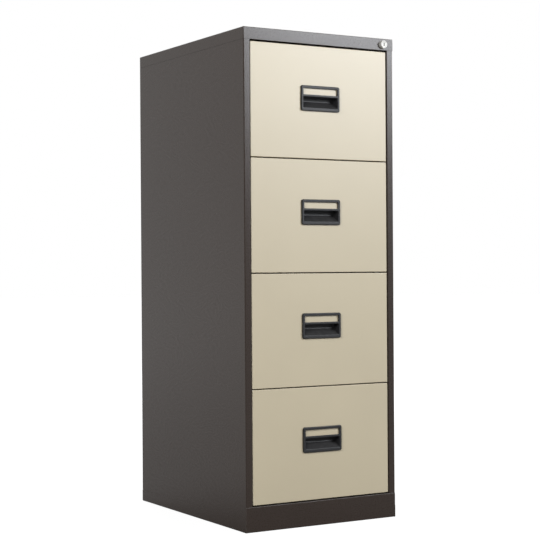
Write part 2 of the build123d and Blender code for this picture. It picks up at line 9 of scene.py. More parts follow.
import bmesh
import bpy
from mathutils import Euler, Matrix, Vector


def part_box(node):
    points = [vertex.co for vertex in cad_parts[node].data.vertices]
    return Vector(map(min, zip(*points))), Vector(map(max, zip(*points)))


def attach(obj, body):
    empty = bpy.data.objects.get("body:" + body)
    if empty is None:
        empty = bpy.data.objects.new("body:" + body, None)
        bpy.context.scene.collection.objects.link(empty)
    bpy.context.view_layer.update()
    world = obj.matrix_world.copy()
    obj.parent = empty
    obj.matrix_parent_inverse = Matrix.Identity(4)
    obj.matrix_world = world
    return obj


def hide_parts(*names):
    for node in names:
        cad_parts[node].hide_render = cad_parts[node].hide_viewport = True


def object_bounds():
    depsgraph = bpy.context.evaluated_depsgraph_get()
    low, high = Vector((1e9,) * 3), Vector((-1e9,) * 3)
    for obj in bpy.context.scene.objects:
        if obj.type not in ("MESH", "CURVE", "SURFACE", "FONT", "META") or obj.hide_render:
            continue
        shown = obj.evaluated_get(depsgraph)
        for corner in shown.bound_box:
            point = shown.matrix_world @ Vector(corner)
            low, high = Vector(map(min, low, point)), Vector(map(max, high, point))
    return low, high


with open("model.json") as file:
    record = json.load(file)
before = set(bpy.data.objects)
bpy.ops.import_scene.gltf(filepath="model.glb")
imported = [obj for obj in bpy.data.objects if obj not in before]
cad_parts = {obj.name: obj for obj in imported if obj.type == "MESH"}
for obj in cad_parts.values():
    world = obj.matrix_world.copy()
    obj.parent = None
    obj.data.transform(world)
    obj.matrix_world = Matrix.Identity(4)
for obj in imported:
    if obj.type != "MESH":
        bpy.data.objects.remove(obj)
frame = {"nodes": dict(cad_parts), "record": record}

# The looks of a four-drawer filing cabinet, in metres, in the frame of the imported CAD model.
# X runs to the right, Y runs to the back and Z runs up. The drawers open towards -Y.

CAD_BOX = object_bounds()
MM = 0.001
DRAWERS = 4
LOG = logging.getLogger("filing_cabinet")

# How far a cutter reaches past what it cuts, and how near corners are joined into one
SPARE = 1.0 * MM
WELD = 1e-7

# Turns in radians that are no corner, and in degrees that stay smooth in shading and at a bevel
STRAIGHT = 1e-6
SMOOTH = 32.0
BEVEL_FROM = 40.0

# Where the middle point of a round of two chords lies, as a share of its radius
ROUND_SHARE = 0.3

Point = tuple[float, float]
Triple = tuple[float, float, float]
Colour = tuple[float, float, float]
Mesh = bmesh.types.BMesh
Ring = list[bmesh.types.BMVert]
Piece = bpy.types.Object
Material = bpy.types.Material
Tree = bpy.types.NodeTree
Node = bpy.types.Node
Socket = bpy.types.NodeSocket
Sockets = bpy.types.bpy_prop_collection


class Axis(Enum):
    """The axis that an outline is pushed along; the outline lies in the other two, in order."""

    X = 0
    Y = 1
    Z = 2

    def place(self, point: Point, along: float) -> Vector:
        """The place in the row frame of an outline's point, so far along this axis."""
        return Vector((*point[: self.value], along, *point[self.value :]))


class Side(Enum):
    """A side of the cabinet, as the sign of its X."""

    LEFT = -1
    RIGHT = 1

    @property
    def label(self) -> str:
        """The side's name in the names of nodes and pieces."""
        return self.name.lower()

    def span(self, first: float, second: float) -> list[float]:
        """The X values of two distances from the cabinet's middle, the lower one first."""
        return sorted((self.value * first, self.value * second))


# Outlines and meshes


def unit(start: Point, end: Point) -> Point:
    """Direction from one point to another, of length one."""
    length = math.dist(start, end)
    return (end[0] - start[0]) / length, (end[1] - start[1]) / length


def arc_at(before: Point, corner: Point, after: Point, radius: float, steps: int) -> list[Point]:
    """Rounds one corner of a path.

    Args:
        before: The path's point before the corner.
        corner: The sharp corner.
        after: The path's point after the corner.
        radius: The radius of the round.
        steps: How many chords the round has.

    Returns:
        The points that take the corner's place.
    """
    into = unit(before, corner)
    out = unit(corner, after)
    turn = math.atan2(into[0] * out[1] - into[1] * out[0], into[0] * out[0] + into[1] * out[1])
    if radius <= 0 or abs(turn) < STRAIGHT:
        return [corner]
    reach = radius * math.tan(abs(turn) / 2)
    start = (corner[0] - into[0] * reach, corner[1] - into[1] * reach)
    side = math.copysign(1, turn)
    centre = (start[0] - side * into[1] * radius, start[1] + side * into[0] * radius)
    du, dv = start[0] - centre[0], start[1] - centre[1]
    points = []
    for step in range(steps + 1):
        angle = turn * step / steps
        cosine, sine = math.cos(angle), math.sin(angle)
        points.append((centre[0] + du * cosine - dv * sine, centre[1] + du * sine + dv * cosine))
    return points


def rounded_path(points: Sequence[Point], radii: Sequence[float], steps: int) -> list[Point]:
    """Rounds the inner corners of an open path.

    Args:
        points: The path.
        radii: One radius for each inner corner.
        steps: How many chords each round has.

    Returns:
        The path with its rounds.
    """
    path = [points[0]]
    for before, corner, after, radius in zip(points, points[1:], points[2:], radii):
        path += arc_at(before, corner, after, radius, steps)
    return path + [points[-1]]


def rounded_rectangle(low: Point, high: Point, radius: float, steps: int = 6) -> list[Point]:
    """Outline of a rectangle with round corners.

    Args:
        low: The corner with the lowest values.
        high: The corner with the highest values.
        radius: The radius of each corner.
        steps: How many chords each corner has.

    Returns:
        The outline's points, anticlockwise.
    """
    corners = [low, (high[0], low[1]), high, (low[0], high[1])]
    outline = []
    for index, corner in enumerate(corners):
        outline += arc_at(corners[index - 1], corner, corners[(index + 1) % 4], radius, steps)
    return outline


def circle(centre: Point, radius: float, count: int) -> list[Point]:
    """Outline of a circle, anticlockwise."""
    angles = [2 * math.pi * index / count for index in range(count)]
    return [(centre[0] + radius * math.cos(a), centre[1] + radius * math.sin(a)) for a in angles]


@dataclass(frozen=True)
class FoldedSheet:
    """Section of folded sheet metal: a path is one face, and the metal lies on its left."""

    thickness: float = 0.8 * MM
    radius: float = 1.6 * MM
    steps: int = 5
    tightest: float = 0.25

    def offset(self, path: Sequence[Point]) -> list[Point]:
        """Moves a path's corners to the left by the sheet's thickness.

        Args:
            path: The corners.

        Returns:
            The moved corners, mitred.
        """
        steps = [unit(a, b) for a, b in zip(path, path[1:])]
        normals = [(-dv, du) for du, dv in steps]
        ends = [normals[0], *normals, normals[-1]]
        moved = []
        for (u, v), before, after in zip(path, ends, ends[1:]):
            share = self.thickness / (1 + before[0] * after[0] + before[1] * after[1])
            moved.append((u + share * (before[0] + after[0]), v + share * (before[1] + after[1])))
        return moved

    def section(self, path: Sequence[Point], radii: Sequence[float] = ()) -> list[Point]:
        """Closed outline of the folded sheet.

        Args:
            path: The corners of one face, in order.
            radii: The outer radius of each bend, where they aren't all the sheet's own.

        Returns:
            The outline, with round bends.
        """
        near_radii, far_radii = [], []
        outer_radii = radii or [self.radius] * (len(path) - 2)
        for a, b, c, outer in zip(path, path[1:], path[2:], outer_radii):
            inner = max(outer - self.thickness, self.thickness * self.tightest)
            turns_left = (b[0] - a[0]) * (c[1] - b[1]) - (b[1] - a[1]) * (c[0] - b[0]) > 0
            near_radii.append(outer if turns_left else inner)
            far_radii.append(inner if turns_left else outer)
        near = rounded_path(path, near_radii, self.steps)
        far = rounded_path(self.offset(path), far_radii, self.steps)
        return near + far[::-1]


def ring(bm: Mesh, outline: Iterable[Point], axis: Axis, along: float) -> Ring:
    """Adds the corners of an outline at one place on an axis."""
    return [bm.verts.new(axis.place(point, along)) for point in outline]


def loft(bm: Mesh, rings: Sequence[Ring]) -> None:
    """Joins a row of closed rings, each to the next; a ring of one corner is a tip.

    Args:
        bm: The mesh that takes the faces.
        rings: The rings, all of as many corners apart from tips.
    """
    for first, second in zip(rings, rings[1:]):
        count = max(len(first), len(second))
        for index in range(count):
            after = (index + 1) % count
            if len(first) == 1:
                bm.faces.new((first[0], second[index], second[after]))
            elif len(second) == 1:
                bm.faces.new((second[0], first[index], first[after]))
            else:
                bm.faces.new((first[index], first[after], second[after], second[index]))


def fill(bm: Mesh, *rings: Ring) -> None:
    """Fills the flat region between an outer ring and any rings inside it.

    Args:
        bm: The mesh that takes the faces.
        rings: The rings, whose edges may already be there.
    """
    edges = []
    for corners in rings:
        for corner, other in zip(corners, corners[1:] + corners[:1]):
            edges.append(bm.edges.get((corner, other)) or bm.edges.new((corner, other)))
    bmesh.ops.triangle_fill(bm, use_beauty=True, edges=edges)


def prism(bm: Mesh, outline: Sequence[Point], axis: Axis, start: float, end: float) -> None:
    """Adds an outline pushed along an axis, closed at both ends.

    Args:
        bm: The mesh that takes the faces.
        outline: The outline's points.
        axis: The axis.
        start: Where the prism starts on it.
        end: Where it ends.
    """
    rings = [ring(bm, outline, axis, along) for along in (start, end)]
    loft(bm, rings)
    for corners in rings:
        bm.faces.new(corners)


def lathe(bm: Mesh, centre: Sequence[float], profile: Sequence[Point], count: int) -> None:
    """Turns a profile about a line along Y.

    Args:
        bm: The mesh that takes the faces.
        centre: A point on the line; its Y is where the profile's own Y starts.
        profile: Radius and place along Y of each point; a radius of zero closes the end.
        count: How many faces go round.
    """
    x, y, z = centre
    rings = []
    for radius, along in profile:
        outline = circle((x, z), radius, count if radius > 0 else 1)
        rings.append(ring(bm, outline, Axis.Y, y + along))
    loft(bm, rings)


def box(bm: Mesh, low: Sequence[float], high: Sequence[float]) -> list[bmesh.types.BMFace]:
    """Adds a box.

    Args:
        bm: The mesh that takes the box.
        low: Its low corner.
        high: Its high corner.

    Returns:
        Its faces.
    """
    made = bmesh.ops.create_cube(bm, size=1)
    for corner in made["verts"]:
        corner.co = Vector(low[i] + (high[i] - low[i]) * (corner.co[i] + 0.5) for i in range(3))
    return list({face for corner in made["verts"] for face in corner.link_faces})


def sharpen(bm: Mesh, angle: float) -> None:
    """Shades faces smooth, apart from edges that turn a lot.

    Args:
        bm: The mesh.
        angle: The turn above which an edge is sharp, in degrees.
    """
    limit = math.radians(angle)
    for face in bm.faces:
        face.smooth = True
    for edge in bm.edges:
        edge.smooth = len(edge.link_faces) == 2 and edge.calc_face_angle(0.0) < limit


def to_object(name: str, bm: Mesh, angle: float = SMOOTH) -> Piece:
    """Turns a bmesh into an object of the scene.

    Args:
        name: The piece's name.
        bm: The mesh, which is freed.
        angle: The turn above which an edge is sharp, in degrees.

    Returns:
        The new object.
    """
    bmesh.ops.remove_doubles(bm, verts=bm.verts, dist=WELD)
    bmesh.ops.recalc_face_normals(bm, faces=bm.faces)
    sharpen(bm, angle)
    mesh = bpy.data.meshes.new(name)
    bm.to_mesh(mesh)
    bm.free()
    piece = bpy.data.objects.new(name, mesh)
    bpy.context.scene.collection.objects.link(piece)
    return piece


def modify(piece: Piece, kind: str, **settings: object) -> bpy.types.Mesh:
    """Runs one modifier on an object and keeps the result as its own mesh.

    Args:
        piece: The object.
        kind: The modifier's type.
        settings: Its properties by name.

    Returns:
        The new mesh.
    """
    modifier = piece.modifiers.new(kind.title(), kind)
    for name, value in settings.items():
        setattr(modifier, name, value)
    graph = bpy.context.evaluated_depsgraph_get()
    old = piece.data
    mesh = bpy.data.meshes.new_from_object(piece.evaluated_get(graph))
    piece.modifiers.clear()
    piece.data = mesh
    bpy.data.meshes.remove(old)
    return mesh


def reshape(piece: Piece, kind: str, **settings: object) -> None:
    """Changes an object's shape with one modifier and shades it anew.

    Args:
        piece: The object.
        kind: The modifier's type.
        settings: Its properties by name.
    """
    mesh = modify(piece, kind, **settings)
    bm = bmesh.new()
    bm.from_mesh(mesh)
    sharpen(bm, SMOOTH)
    bm.to_mesh(mesh)
    bm.free()


def soften_edges(piece: Piece, width: float) -> None:
    """Rounds an object's sharp edges a little, as paint or a deburred cut does."""
    limit = math.radians(BEVEL_FROM)
    reshape(piece, "BEVEL", width=width, segments=2, limit_method="ANGLE", angle_limit=limit)


def cut(piece: Piece, add_shape: Callable[[Mesh], object]) -> None:
    """Cuts a closed shape out of an object.

    Args:
        piece: The object that is cut.
        add_shape: Adds the shape to a bmesh.
    """
    bm = bmesh.new()
    add_shape(bm)
    tool = to_object("cutter", bm)
    reshape(piece, "BOOLEAN", operation="DIFFERENCE", solver="EXACT", object=tool)
    bpy.data.meshes.remove(tool.data)


def cut_box(piece: Piece, low: Triple, high: Triple) -> None:
    """Cuts a box out of an object."""
    cut(piece, lambda tool: box(tool, low, high))


def pan(name: str, low: Triple, high: Triple, opening: Triple, bend: float, thickness: float) -> Piece:
    """Makes a pan of sheet: a box without one side, with round edges and corners.

    Args:
        name: The piece's name.
        low: The low corner of its outside.
        high: The high corner of its outside.
        opening: The direction of the open side.
        bend: The radius of its edges.
        thickness: The sheet's thickness.

    Returns:
        The pan.
    """
    bm = bmesh.new()
    faces = box(bm, low, high)
    lid = max(faces, key=lambda face: face.calc_center_median().dot(Vector(opening)))
    bmesh.ops.delete(bm, geom=[lid], context="FACES_ONLY")
    edges = [edge for edge in bm.edges if len(edge.link_faces) == 2]
    bmesh.ops.bevel(bm, geom=edges, offset=bend, segments=5, profile=0.5, affect="EDGES")
    piece = to_object(name, bm)
    reshape(piece, "SOLIDIFY", thickness=thickness, offset=-1, use_even_offset=True)
    return piece


# Shader groups: each is made once, and each material that uses one has its own values


@dataclass
class NodeTree:
    """A node tree with short ways to add nodes and to link them."""

    tree: Tree

    def add(self, kind: str, settings: dict[str, object] | None = None, **inputs: object) -> Node:
        """Adds a node.

        Args:
            kind: The node's type.
            settings: Its properties by name.
            inputs: Its sockets by name, with _ for a space: a value, or an output socket to link.

        Returns:
            The new node.
        """
        node = self.tree.nodes.new(kind)
        for name, value in (settings or {}).items():
            setattr(node, name, value)
        self.set(node, **inputs)
        return node

    def set(self, node: Node, **inputs: object) -> None:
        """Sets or links sockets of a node, given by name with _ for a space."""
        for name, value in inputs.items():
            self.feed(node.inputs[name.replace("_", " ")], value)

    def feed(self, socket: Socket, value: object) -> None:
        """Links an output to a socket, or sets the socket's own value.

        Args:
            socket: The input socket.
            value: An output socket, a number, or a colour without its alpha.
        """
        if isinstance(value, Socket):
            self.tree.links.new(value, socket)
        else:
            socket.default_value = (*value, 1.0) if socket.type == "RGBA" else value

    def maths(self, operation: str, first: object, second: object = 0.0, clamp: bool = False) -> Socket:
        """Works one value out from two.

        Args:
            operation: What the Math node does.
            first: The first value.
            second: The second value.
            clamp: Whether the result is held from 0 to 1.

        Returns:
            The result.
        """
        node = self.add("ShaderNodeMath", {"operation": operation, "use_clamp": clamp})
        self.feed(node.inputs[0], first)
        self.feed(node.inputs[1], second)
        return node.outputs[0]

    def times(self, first: object, second: object, clamp: bool = False) -> Socket:
        """Product of two values."""
        return self.maths("MULTIPLY", first, second, clamp)

    def plus(self, *values: object) -> Socket:
        """Sum of two or more values."""
        return reduce(lambda total, value: self.maths("ADD", total, value), values)

    def vector_maths(self, operation: str, first: Socket, second: object = (0.0, 0.0, 0.0)) -> Socket:
        """Works a value out from vectors.

        Args:
            operation: What the Vector Math node does.
            first: The first vector.
            second: The second vector.

        Returns:
            The value.
        """
        node = self.add("ShaderNodeVectorMath", {"operation": operation})
        self.feed(node.inputs[0], first)
        self.feed(node.inputs[1], second)
        return node.outputs["Value"]

    def remap(self, value: object, given: Point, wanted: Point = (0.0, 1.0)) -> Socket:
        """Maps a value from a given range to a wanted one, held within it."""
        ends = {"From_Min": given[0], "From_Max": given[1], "To_Min": wanted[0], "To_Max": wanted[1]}
        return self.add("ShaderNodeMapRange", {"clamp": True}, Value=value, **ends).outputs["Result"]

    def swing(self, noise: Socket, low: float = -1.0, high: float = 1.0) -> Socket:
        """Spreads the middle of a noise's range over a wider one."""
        return self.remap(noise, (0.3, 0.7), (low, high))

    def mix_colour(self, factor: object, first: object, second: object, blend: str = "MIX") -> Socket:
        """Mixes two colours; the factor is the share of the second one."""
        settings = {"data_type": "RGBA", "blend_type": blend}
        return self.add("ShaderNodeMix", settings, Factor=factor, A=first, B=second).outputs["Result"]

    def grey(self, value: object) -> Socket:
        """A grey from one value."""
        return self.add("ShaderNodeCombineColor", Red=value, Green=value, Blue=value).outputs[0]

    def place(self) -> Socket:
        """The place on the piece, in the row frame."""
        return self.add("ShaderNodeTexCoord").outputs["Object"]

    def parts(self, vector: Socket) -> Sockets:
        """The X, Y and Z of a vector."""
        return self.add("ShaderNodeSeparateXYZ", Vector=vector).outputs

    def noise(
        self, scale: object, detail: float = 3.0, roughness: float = 0.5, stretch: Triple = (1.0, 1.0, 1.0)
    ) -> Socket:
        """Noise about 0.5 over the piece's place, with so many waves in a metre, finer along some axes."""
        inputs = {"Scale": scale, "Detail": detail, "Roughness": roughness}
        inputs["Vector"] = self.add("ShaderNodeMapping", Vector=self.place(), Scale=stretch).outputs[0]
        return self.add("ShaderNodeTexNoise", **inputs).outputs[0]


class GroupName(Enum):
    """The shader groups that the finishes share; each is made by the shelf's method of its name."""

    ORANGE_PEEL = "Orange peel"
    TONE_DRIFT = "Tone drift"
    EDGE_WEAR = "Edge wear"
    DUST = "Dust"
    DRAWN_GRAIN = "Drawn grain"
    MOULD_GRAIN = "Mould grain"
    # Painted shade with some grime: darkens seams, folds and slots by ambient occlusion
    CREVICE_SHADE_AND_GRIME = "Crevice grime"


@dataclass
class GroupShelf:
    """Makes each shader group when a finish first asks for it."""

    speckle_scale: float = 1900.0
    fine_peel: float = 3.7
    fine_grain: float = 1.7
    grain_patches: float = 70.0
    edge_turn: Point = (0.02, 0.25)
    wear_breaks: Point = (0.42, 0.62)
    dusty_slope: Point = (0.5, 1.0)
    dust_breaks: Point = (0.35, 0.7)
    dust_depth: Point = (0.2, 1.0)
    film_depth: Point = (0.9, 1.0)
    line_depth: Point = (-0.5, 0.5)
    line_stretch: Triple = (1.0, 0.02, 1.0)
    # Painted shade and grime in hollows: how closed in a point must be, and how much its patches vary
    hollows: Point = (0.12, 0.75)
    shade_and_grime_depth: Point = (0.75, 1.0)
    made: dict[GroupName, Tree] = field(default_factory=dict)

    def get(self, name: GroupName) -> Tree:
        """Returns a group, made on first use.

        Args:
            name: Which group.

        Returns:
            The group's tree.
        """
        if name not in self.made:
            tree = getattr(self, name.name.lower())()
            tree.name = name.value
            self.made[name] = tree
        return self.made[name]

    def start(
        self, inputs: dict[str, float], *outputs: str
    ) -> tuple[NodeTree, Sockets, Node]:
        """Starts a group with its sockets.

        Args:
            inputs: Each input's name and default value.
            outputs: Each output's name.

        Returns:
            The group's tree, its given values and its output node.
        """
        tree = bpy.data.node_groups.new("group", "ShaderNodeTree")
        for label, value in inputs.items():
            socket = tree.interface.new_socket(label, in_out="INPUT", socket_type="NodeSocketFloat")
            socket.default_value = value
        for label in outputs:
            tree.interface.new_socket(label, in_out="OUTPUT", socket_type="NodeSocketFloat")
        nodes = NodeTree(tree)
        return nodes, nodes.add("NodeGroupInput").outputs, nodes.add("NodeGroupOutput")

    def orange_peel(self) -> Tree:
        """Powder coat's soft dimples, as a height and as a small change of gloss.

        Returns:
            The group's tree.
        """
        nodes, given, result = self.start({"Scale": 420.0, "Fine": 0.25}, "Height", "Gloss")
        coarse = nodes.noise(given["Scale"], detail=1.0)
        fine = nodes.noise(nodes.times(given["Scale"], self.fine_peel), detail=2.0)
        height = nodes.plus(coarse, nodes.times(fine, given["Fine"]))
        nodes.set(result, Height=height, Gloss=nodes.swing(coarse))
        return nodes.tree

    def tone_drift(self) -> Tree:
        """Slow drift and fine speckle of a paint's tone, from -1 to 1.

        Returns:
            The group's tree.
        """
        nodes, given, result = self.start({"Scale": 5.0, "Speckle": 0.3}, "Tone")
        slow = nodes.swing(nodes.noise(given["Scale"], detail=2.0))
        speckle = nodes.swing(nodes.noise(self.speckle_scale, detail=2.0))
        nodes.set(result, Tone=nodes.plus(slow, nodes.times(speckle, given["Speckle"])))
        return nodes.tree

    def edge_wear(self) -> Tree:
        """Mask of the edges where handling has polished or chipped a finish.

        Returns:
            The group's tree.
        """
        nodes, given, result = self.start({"Width": 0.001, "Amount": 0.5, "Scale": 90.0}, "Mask")
        round_normal = nodes.add("ShaderNodeBevel", {"samples": 4}, Radius=given["Width"]).outputs[0]
        true_normal = nodes.add("ShaderNodeNewGeometry").outputs["Normal"]
        alike = nodes.vector_maths("DOT_PRODUCT", round_normal, true_normal)
        edge = nodes.remap(nodes.maths("SUBTRACT", 1.0, alike), self.edge_turn)
        breaks = nodes.remap(nodes.noise(given["Scale"], detail=4.0, roughness=0.65), self.wear_breaks)
        nodes.set(result, Mask=nodes.times(nodes.times(edge, breaks), given["Amount"], clamp=True))
        return nodes.tree

    def dust(self) -> Tree:
        """Thin dust on faces that look up: a mask of its patches, and the even film that dulls them.

        Returns:
            The group's tree.
        """
        nodes, given, result = self.start({"Amount": 0.1, "Scale": 24.0}, "Mask", "Film")
        normal = nodes.parts(nodes.add("ShaderNodeNewGeometry").outputs["Normal"])
        up = nodes.remap(normal["Z"], self.dusty_slope)
        noise = nodes.noise(given["Scale"], detail=6.0, roughness=0.7)
        patches = nodes.remap(noise, self.dust_breaks, self.dust_depth)
        evenness = nodes.remap(patches, self.dust_depth, self.film_depth)
        mask = nodes.times(nodes.times(up, patches), given["Amount"], clamp=True)
        nodes.set(result, Mask=mask, Film=nodes.times(up, evenness))
        return nodes.tree

    def drawn_grain(self) -> Tree:
        """Fine lines along Y, as a roll leaves on plated strip, with the plating's soft patches.

        Returns:
            The group's tree.
        """
        nodes, given, result = self.start({"Scale": 700.0, "Patches": 60.0}, "Height", "Tone")
        lines = nodes.noise(given["Scale"], stretch=self.line_stretch)
        patches = nodes.swing(nodes.noise(given["Patches"]))
        nodes.set(result, Height=lines, Tone=nodes.plus(patches, nodes.swing(lines, *self.line_depth)))
        return nodes.tree

    def mould_grain(self) -> Tree:
        """The fine leather-like grain that a spark-eroded mould leaves on plastic.

        Returns:
            The group's tree.
        """
        nodes, given, result = self.start({"Scale": 1500.0}, "Height", "Gloss")
        settings = {"feature": "SMOOTH_F1"}
        cells = nodes.add("ShaderNodeTexVoronoi", settings, Vector=nodes.place(), Scale=given["Scale"])
        fine = nodes.noise(nodes.times(given["Scale"], self.fine_grain))
        height = nodes.plus(cells.outputs["Distance"], nodes.times(fine, 0.5))
        nodes.set(result, Height=height, Gloss=nodes.swing(nodes.noise(self.grain_patches)))
        return nodes.tree

    def crevice_shade_and_grime(self) -> Tree:
        """Mask of dirt and painted shade in seams, folds and slots: it darkens hollows by how closed in they
        are.

        Returns:
            The group's tree.
        """
        nodes, given, result = self.start({"Reach": 0.003, "Amount": 0.5, "Scale": 45.0}, "Mask")
        hollow = nodes.add("ShaderNodeAmbientOcclusion", {"samples": 6}, Distance=given["Reach"])
        depth = nodes.remap(nodes.maths("SUBTRACT", 1.0, hollow.outputs["AO"]), self.hollows)
        noise = nodes.noise(given["Scale"], detail=4.0, roughness=0.6)
        patches = nodes.swing(noise, *self.shade_and_grime_depth)
        nodes.set(result, Mask=nodes.times(nodes.times(depth, patches), given["Amount"], clamp=True))
        return nodes.tree


# Finishes


@dataclass
class MaterialBench:
    """A material with a Principled BSDF, and the groups that feed it."""

    name: str
    shelf: GroupShelf

    def __post_init__(self) -> None:
        """Makes the empty material."""
        self.material = bpy.data.materials.new(self.name)
        self.material.use_nodes = True
        self.nodes = NodeTree(self.material.node_tree)
        self.shader = self.nodes.tree.nodes["Principled BSDF"]

    def group(self, name: GroupName, **inputs: object) -> Sockets:
        """Adds a shader group with this material's own values and returns its outputs."""
        return self.nodes.add("ShaderNodeGroup", {"node_tree": self.shelf.get(name)}, **inputs).outputs

    def mask(self, name: GroupName, **inputs: object) -> Socket:
        """Adds a shader group and returns its mask."""
        return self.group(name, **inputs)["Mask"]

    def shaded(self, colour: Colour, tone: object, strength: float) -> Socket:
        """A colour made lighter and darker by a tone from -1 to 1."""
        gain = self.nodes.plus(1.0, self.nodes.times(tone, strength))
        return self.nodes.mix_colour(1.0, colour, self.nodes.grey(gain), "MULTIPLY")

    def bump(self, height: object, depth: float) -> Socket:
        """A normal from a height, whose full range is a depth in metres."""
        return self.nodes.add("ShaderNodeBump", Strength=1.0, Distance=depth, Height=height).outputs["Normal"]

    def finish(self, **inputs: object) -> Material:
        """Sets or links sockets of the Principled BSDF and returns the material."""
        self.nodes.set(self.shader, **inputs)
        return self.material


@dataclass(frozen=True)
class PowderCoat:
    """Semi-gloss powder coat on steel."""

    name: str
    colour: Colour
    bare: Colour = (0.42, 0.40, 0.38)
    # Colour of the painted shade and grime in seams and folds
    grime_and_shade: Colour = (0.008, 0.006, 0.005)
    dust: Colour = (0.55, 0.53, 0.5)
    roughness: float = 0.28
    unevenness: float = 0.012
    gloss: float = 0.5
    peel_depth: float = 0.005 * MM
    drift: float = 0.02
    film: float = 0.46
    wear: float = 0.25
    seam_dirt_and_shade: float = 0.25

    def make(self, shelf: GroupShelf) -> Material:
        """Builds the coat's material.

        Args:
            shelf: The shader groups.

        Returns:
            The material.
        """
        bench = MaterialBench(self.name, shelf)
        nodes = bench.nodes
        tone = bench.group(GroupName.TONE_DRIFT, Speckle=0.1)["Tone"]
        paint = bench.shaded(self.colour, tone, self.drift)
        dust = bench.group(GroupName.DUST, Amount=0.07)
        dusty = nodes.mix_colour(dust["Mask"], paint, self.dust)
        worn = bench.mask(GroupName.EDGE_WEAR, Width=0.9 * MM, Amount=self.wear)
        handled = nodes.mix_colour(worn, dusty, self.bare)
        # Painted shade with some grime: darkens seams and folds by how closed in they are
        grime_and_shade = bench.mask(GroupName.CREVICE_SHADE_AND_GRIME, Reach=1.5 * MM, Amount=self.seam_dirt_and_shade)
        peel = bench.group(GroupName.ORANGE_PEEL)
        uneven = nodes.times(peel["Gloss"], self.unevenness)
        return bench.finish(
            Base_Color=nodes.mix_colour(grime_and_shade, handled, self.grime_and_shade),
            Roughness=nodes.plus(uneven, self.roughness, nodes.times(dust["Film"], self.film)),
            Specular_IOR_Level=self.gloss,
            Normal=bench.bump(peel["Height"], self.peel_depth),
        )


@dataclass(frozen=True)
class MouldedPlastic:
    """Black moulded plastic with a satin grain."""

    name: str
    colour: Colour
    rubbed: Colour = (0.06, 0.058, 0.056)
    dust: Colour = (0.4, 0.39, 0.37)
    # Colour of the painted shade and grime in the moulding's hollows
    grime_and_shade: Colour = (0.004, 0.004, 0.004)
    roughness: float = 0.46
    unevenness: float = 0.03
    polish: float = -0.15
    gloss: float = 0.43
    drift: float = 0.06
    grain_depth: float = 0.012 * MM

    def make(self, shelf: GroupShelf) -> Material:
        """Builds the plastic's material.

        Args:
            shelf: The shader groups.

        Returns:
            The material.
        """
        bench = MaterialBench(self.name, shelf)
        nodes = bench.nodes
        tone = bench.group(GroupName.TONE_DRIFT, Scale=30.0, Speckle=0.2)["Tone"]
        plastic = bench.shaded(self.colour, tone, self.drift)
        dust = bench.mask(GroupName.DUST, Amount=0.1, Scale=90.0)
        rubbed = bench.mask(GroupName.EDGE_WEAR, Width=0.8 * MM, Amount=0.35, Scale=60.0)
        # Painted shade with some grime: darkens the moulding's hollows by how closed in they are
        grime_and_shade = bench.mask(GroupName.CREVICE_SHADE_AND_GRIME, Reach=4.0 * MM, Amount=0.5)
        grain = bench.group(GroupName.MOULD_GRAIN)
        dusty = nodes.mix_colour(dust, nodes.mix_colour(rubbed, plastic, self.rubbed), self.dust)
        uneven = nodes.times(grain["Gloss"], self.unevenness)
        return bench.finish(
            Base_Color=nodes.mix_colour(grime_and_shade, dusty, self.grime_and_shade),
            Roughness=nodes.plus(uneven, self.roughness, nodes.times(rubbed, self.polish)),
            Specular_IOR_Level=self.gloss,
            Normal=bench.bump(grain["Height"], self.grain_depth),
        )


@dataclass(frozen=True)
class ZincPlate:
    """Bright zinc plate on rolled steel strip."""

    name: str
    colour: Colour
    rubbed: Colour = (0.62, 0.61, 0.6)
    # Colour of the painted shade and grease in the channels' hollows
    grease_and_shade: Colour = (0.07, 0.065, 0.055)
    roughness: float = 0.3
    unevenness: float = 0.05
    greasy: float = 0.25
    drift: float = 0.06
    grain_depth: float = 0.004 * MM

    def make(self, shelf: GroupShelf) -> Material:
        """Builds the plating's material.

        Args:
            shelf: The shader groups.

        Returns:
            The material.
        """
        bench = MaterialBench(self.name, shelf)
        nodes = bench.nodes
        grain = bench.group(GroupName.DRAWN_GRAIN)
        plate = bench.shaded(self.colour, grain["Tone"], self.drift)
        rubbed = bench.mask(GroupName.EDGE_WEAR, Width=0.6 * MM, Amount=0.5, Scale=120.0)
        # Painted shade with some grease: darkens hollows by how closed in they are; the grease there also
        # raises roughness
        grease_and_shade = bench.mask(GroupName.CREVICE_SHADE_AND_GRIME, Reach=3.0 * MM, Amount=0.6, Scale=90.0)
        uneven = nodes.times(grain["Tone"], self.unevenness)
        return bench.finish(
            Base_Color=nodes.mix_colour(grease_and_shade, nodes.mix_colour(rubbed, plate, self.rubbed), self.grease_and_shade),
            Metallic=1.0,
            Roughness=nodes.plus(uneven, self.roughness, nodes.times(grease_and_shade, self.greasy)),
            Normal=bench.bump(grain["Height"], self.grain_depth),
        )


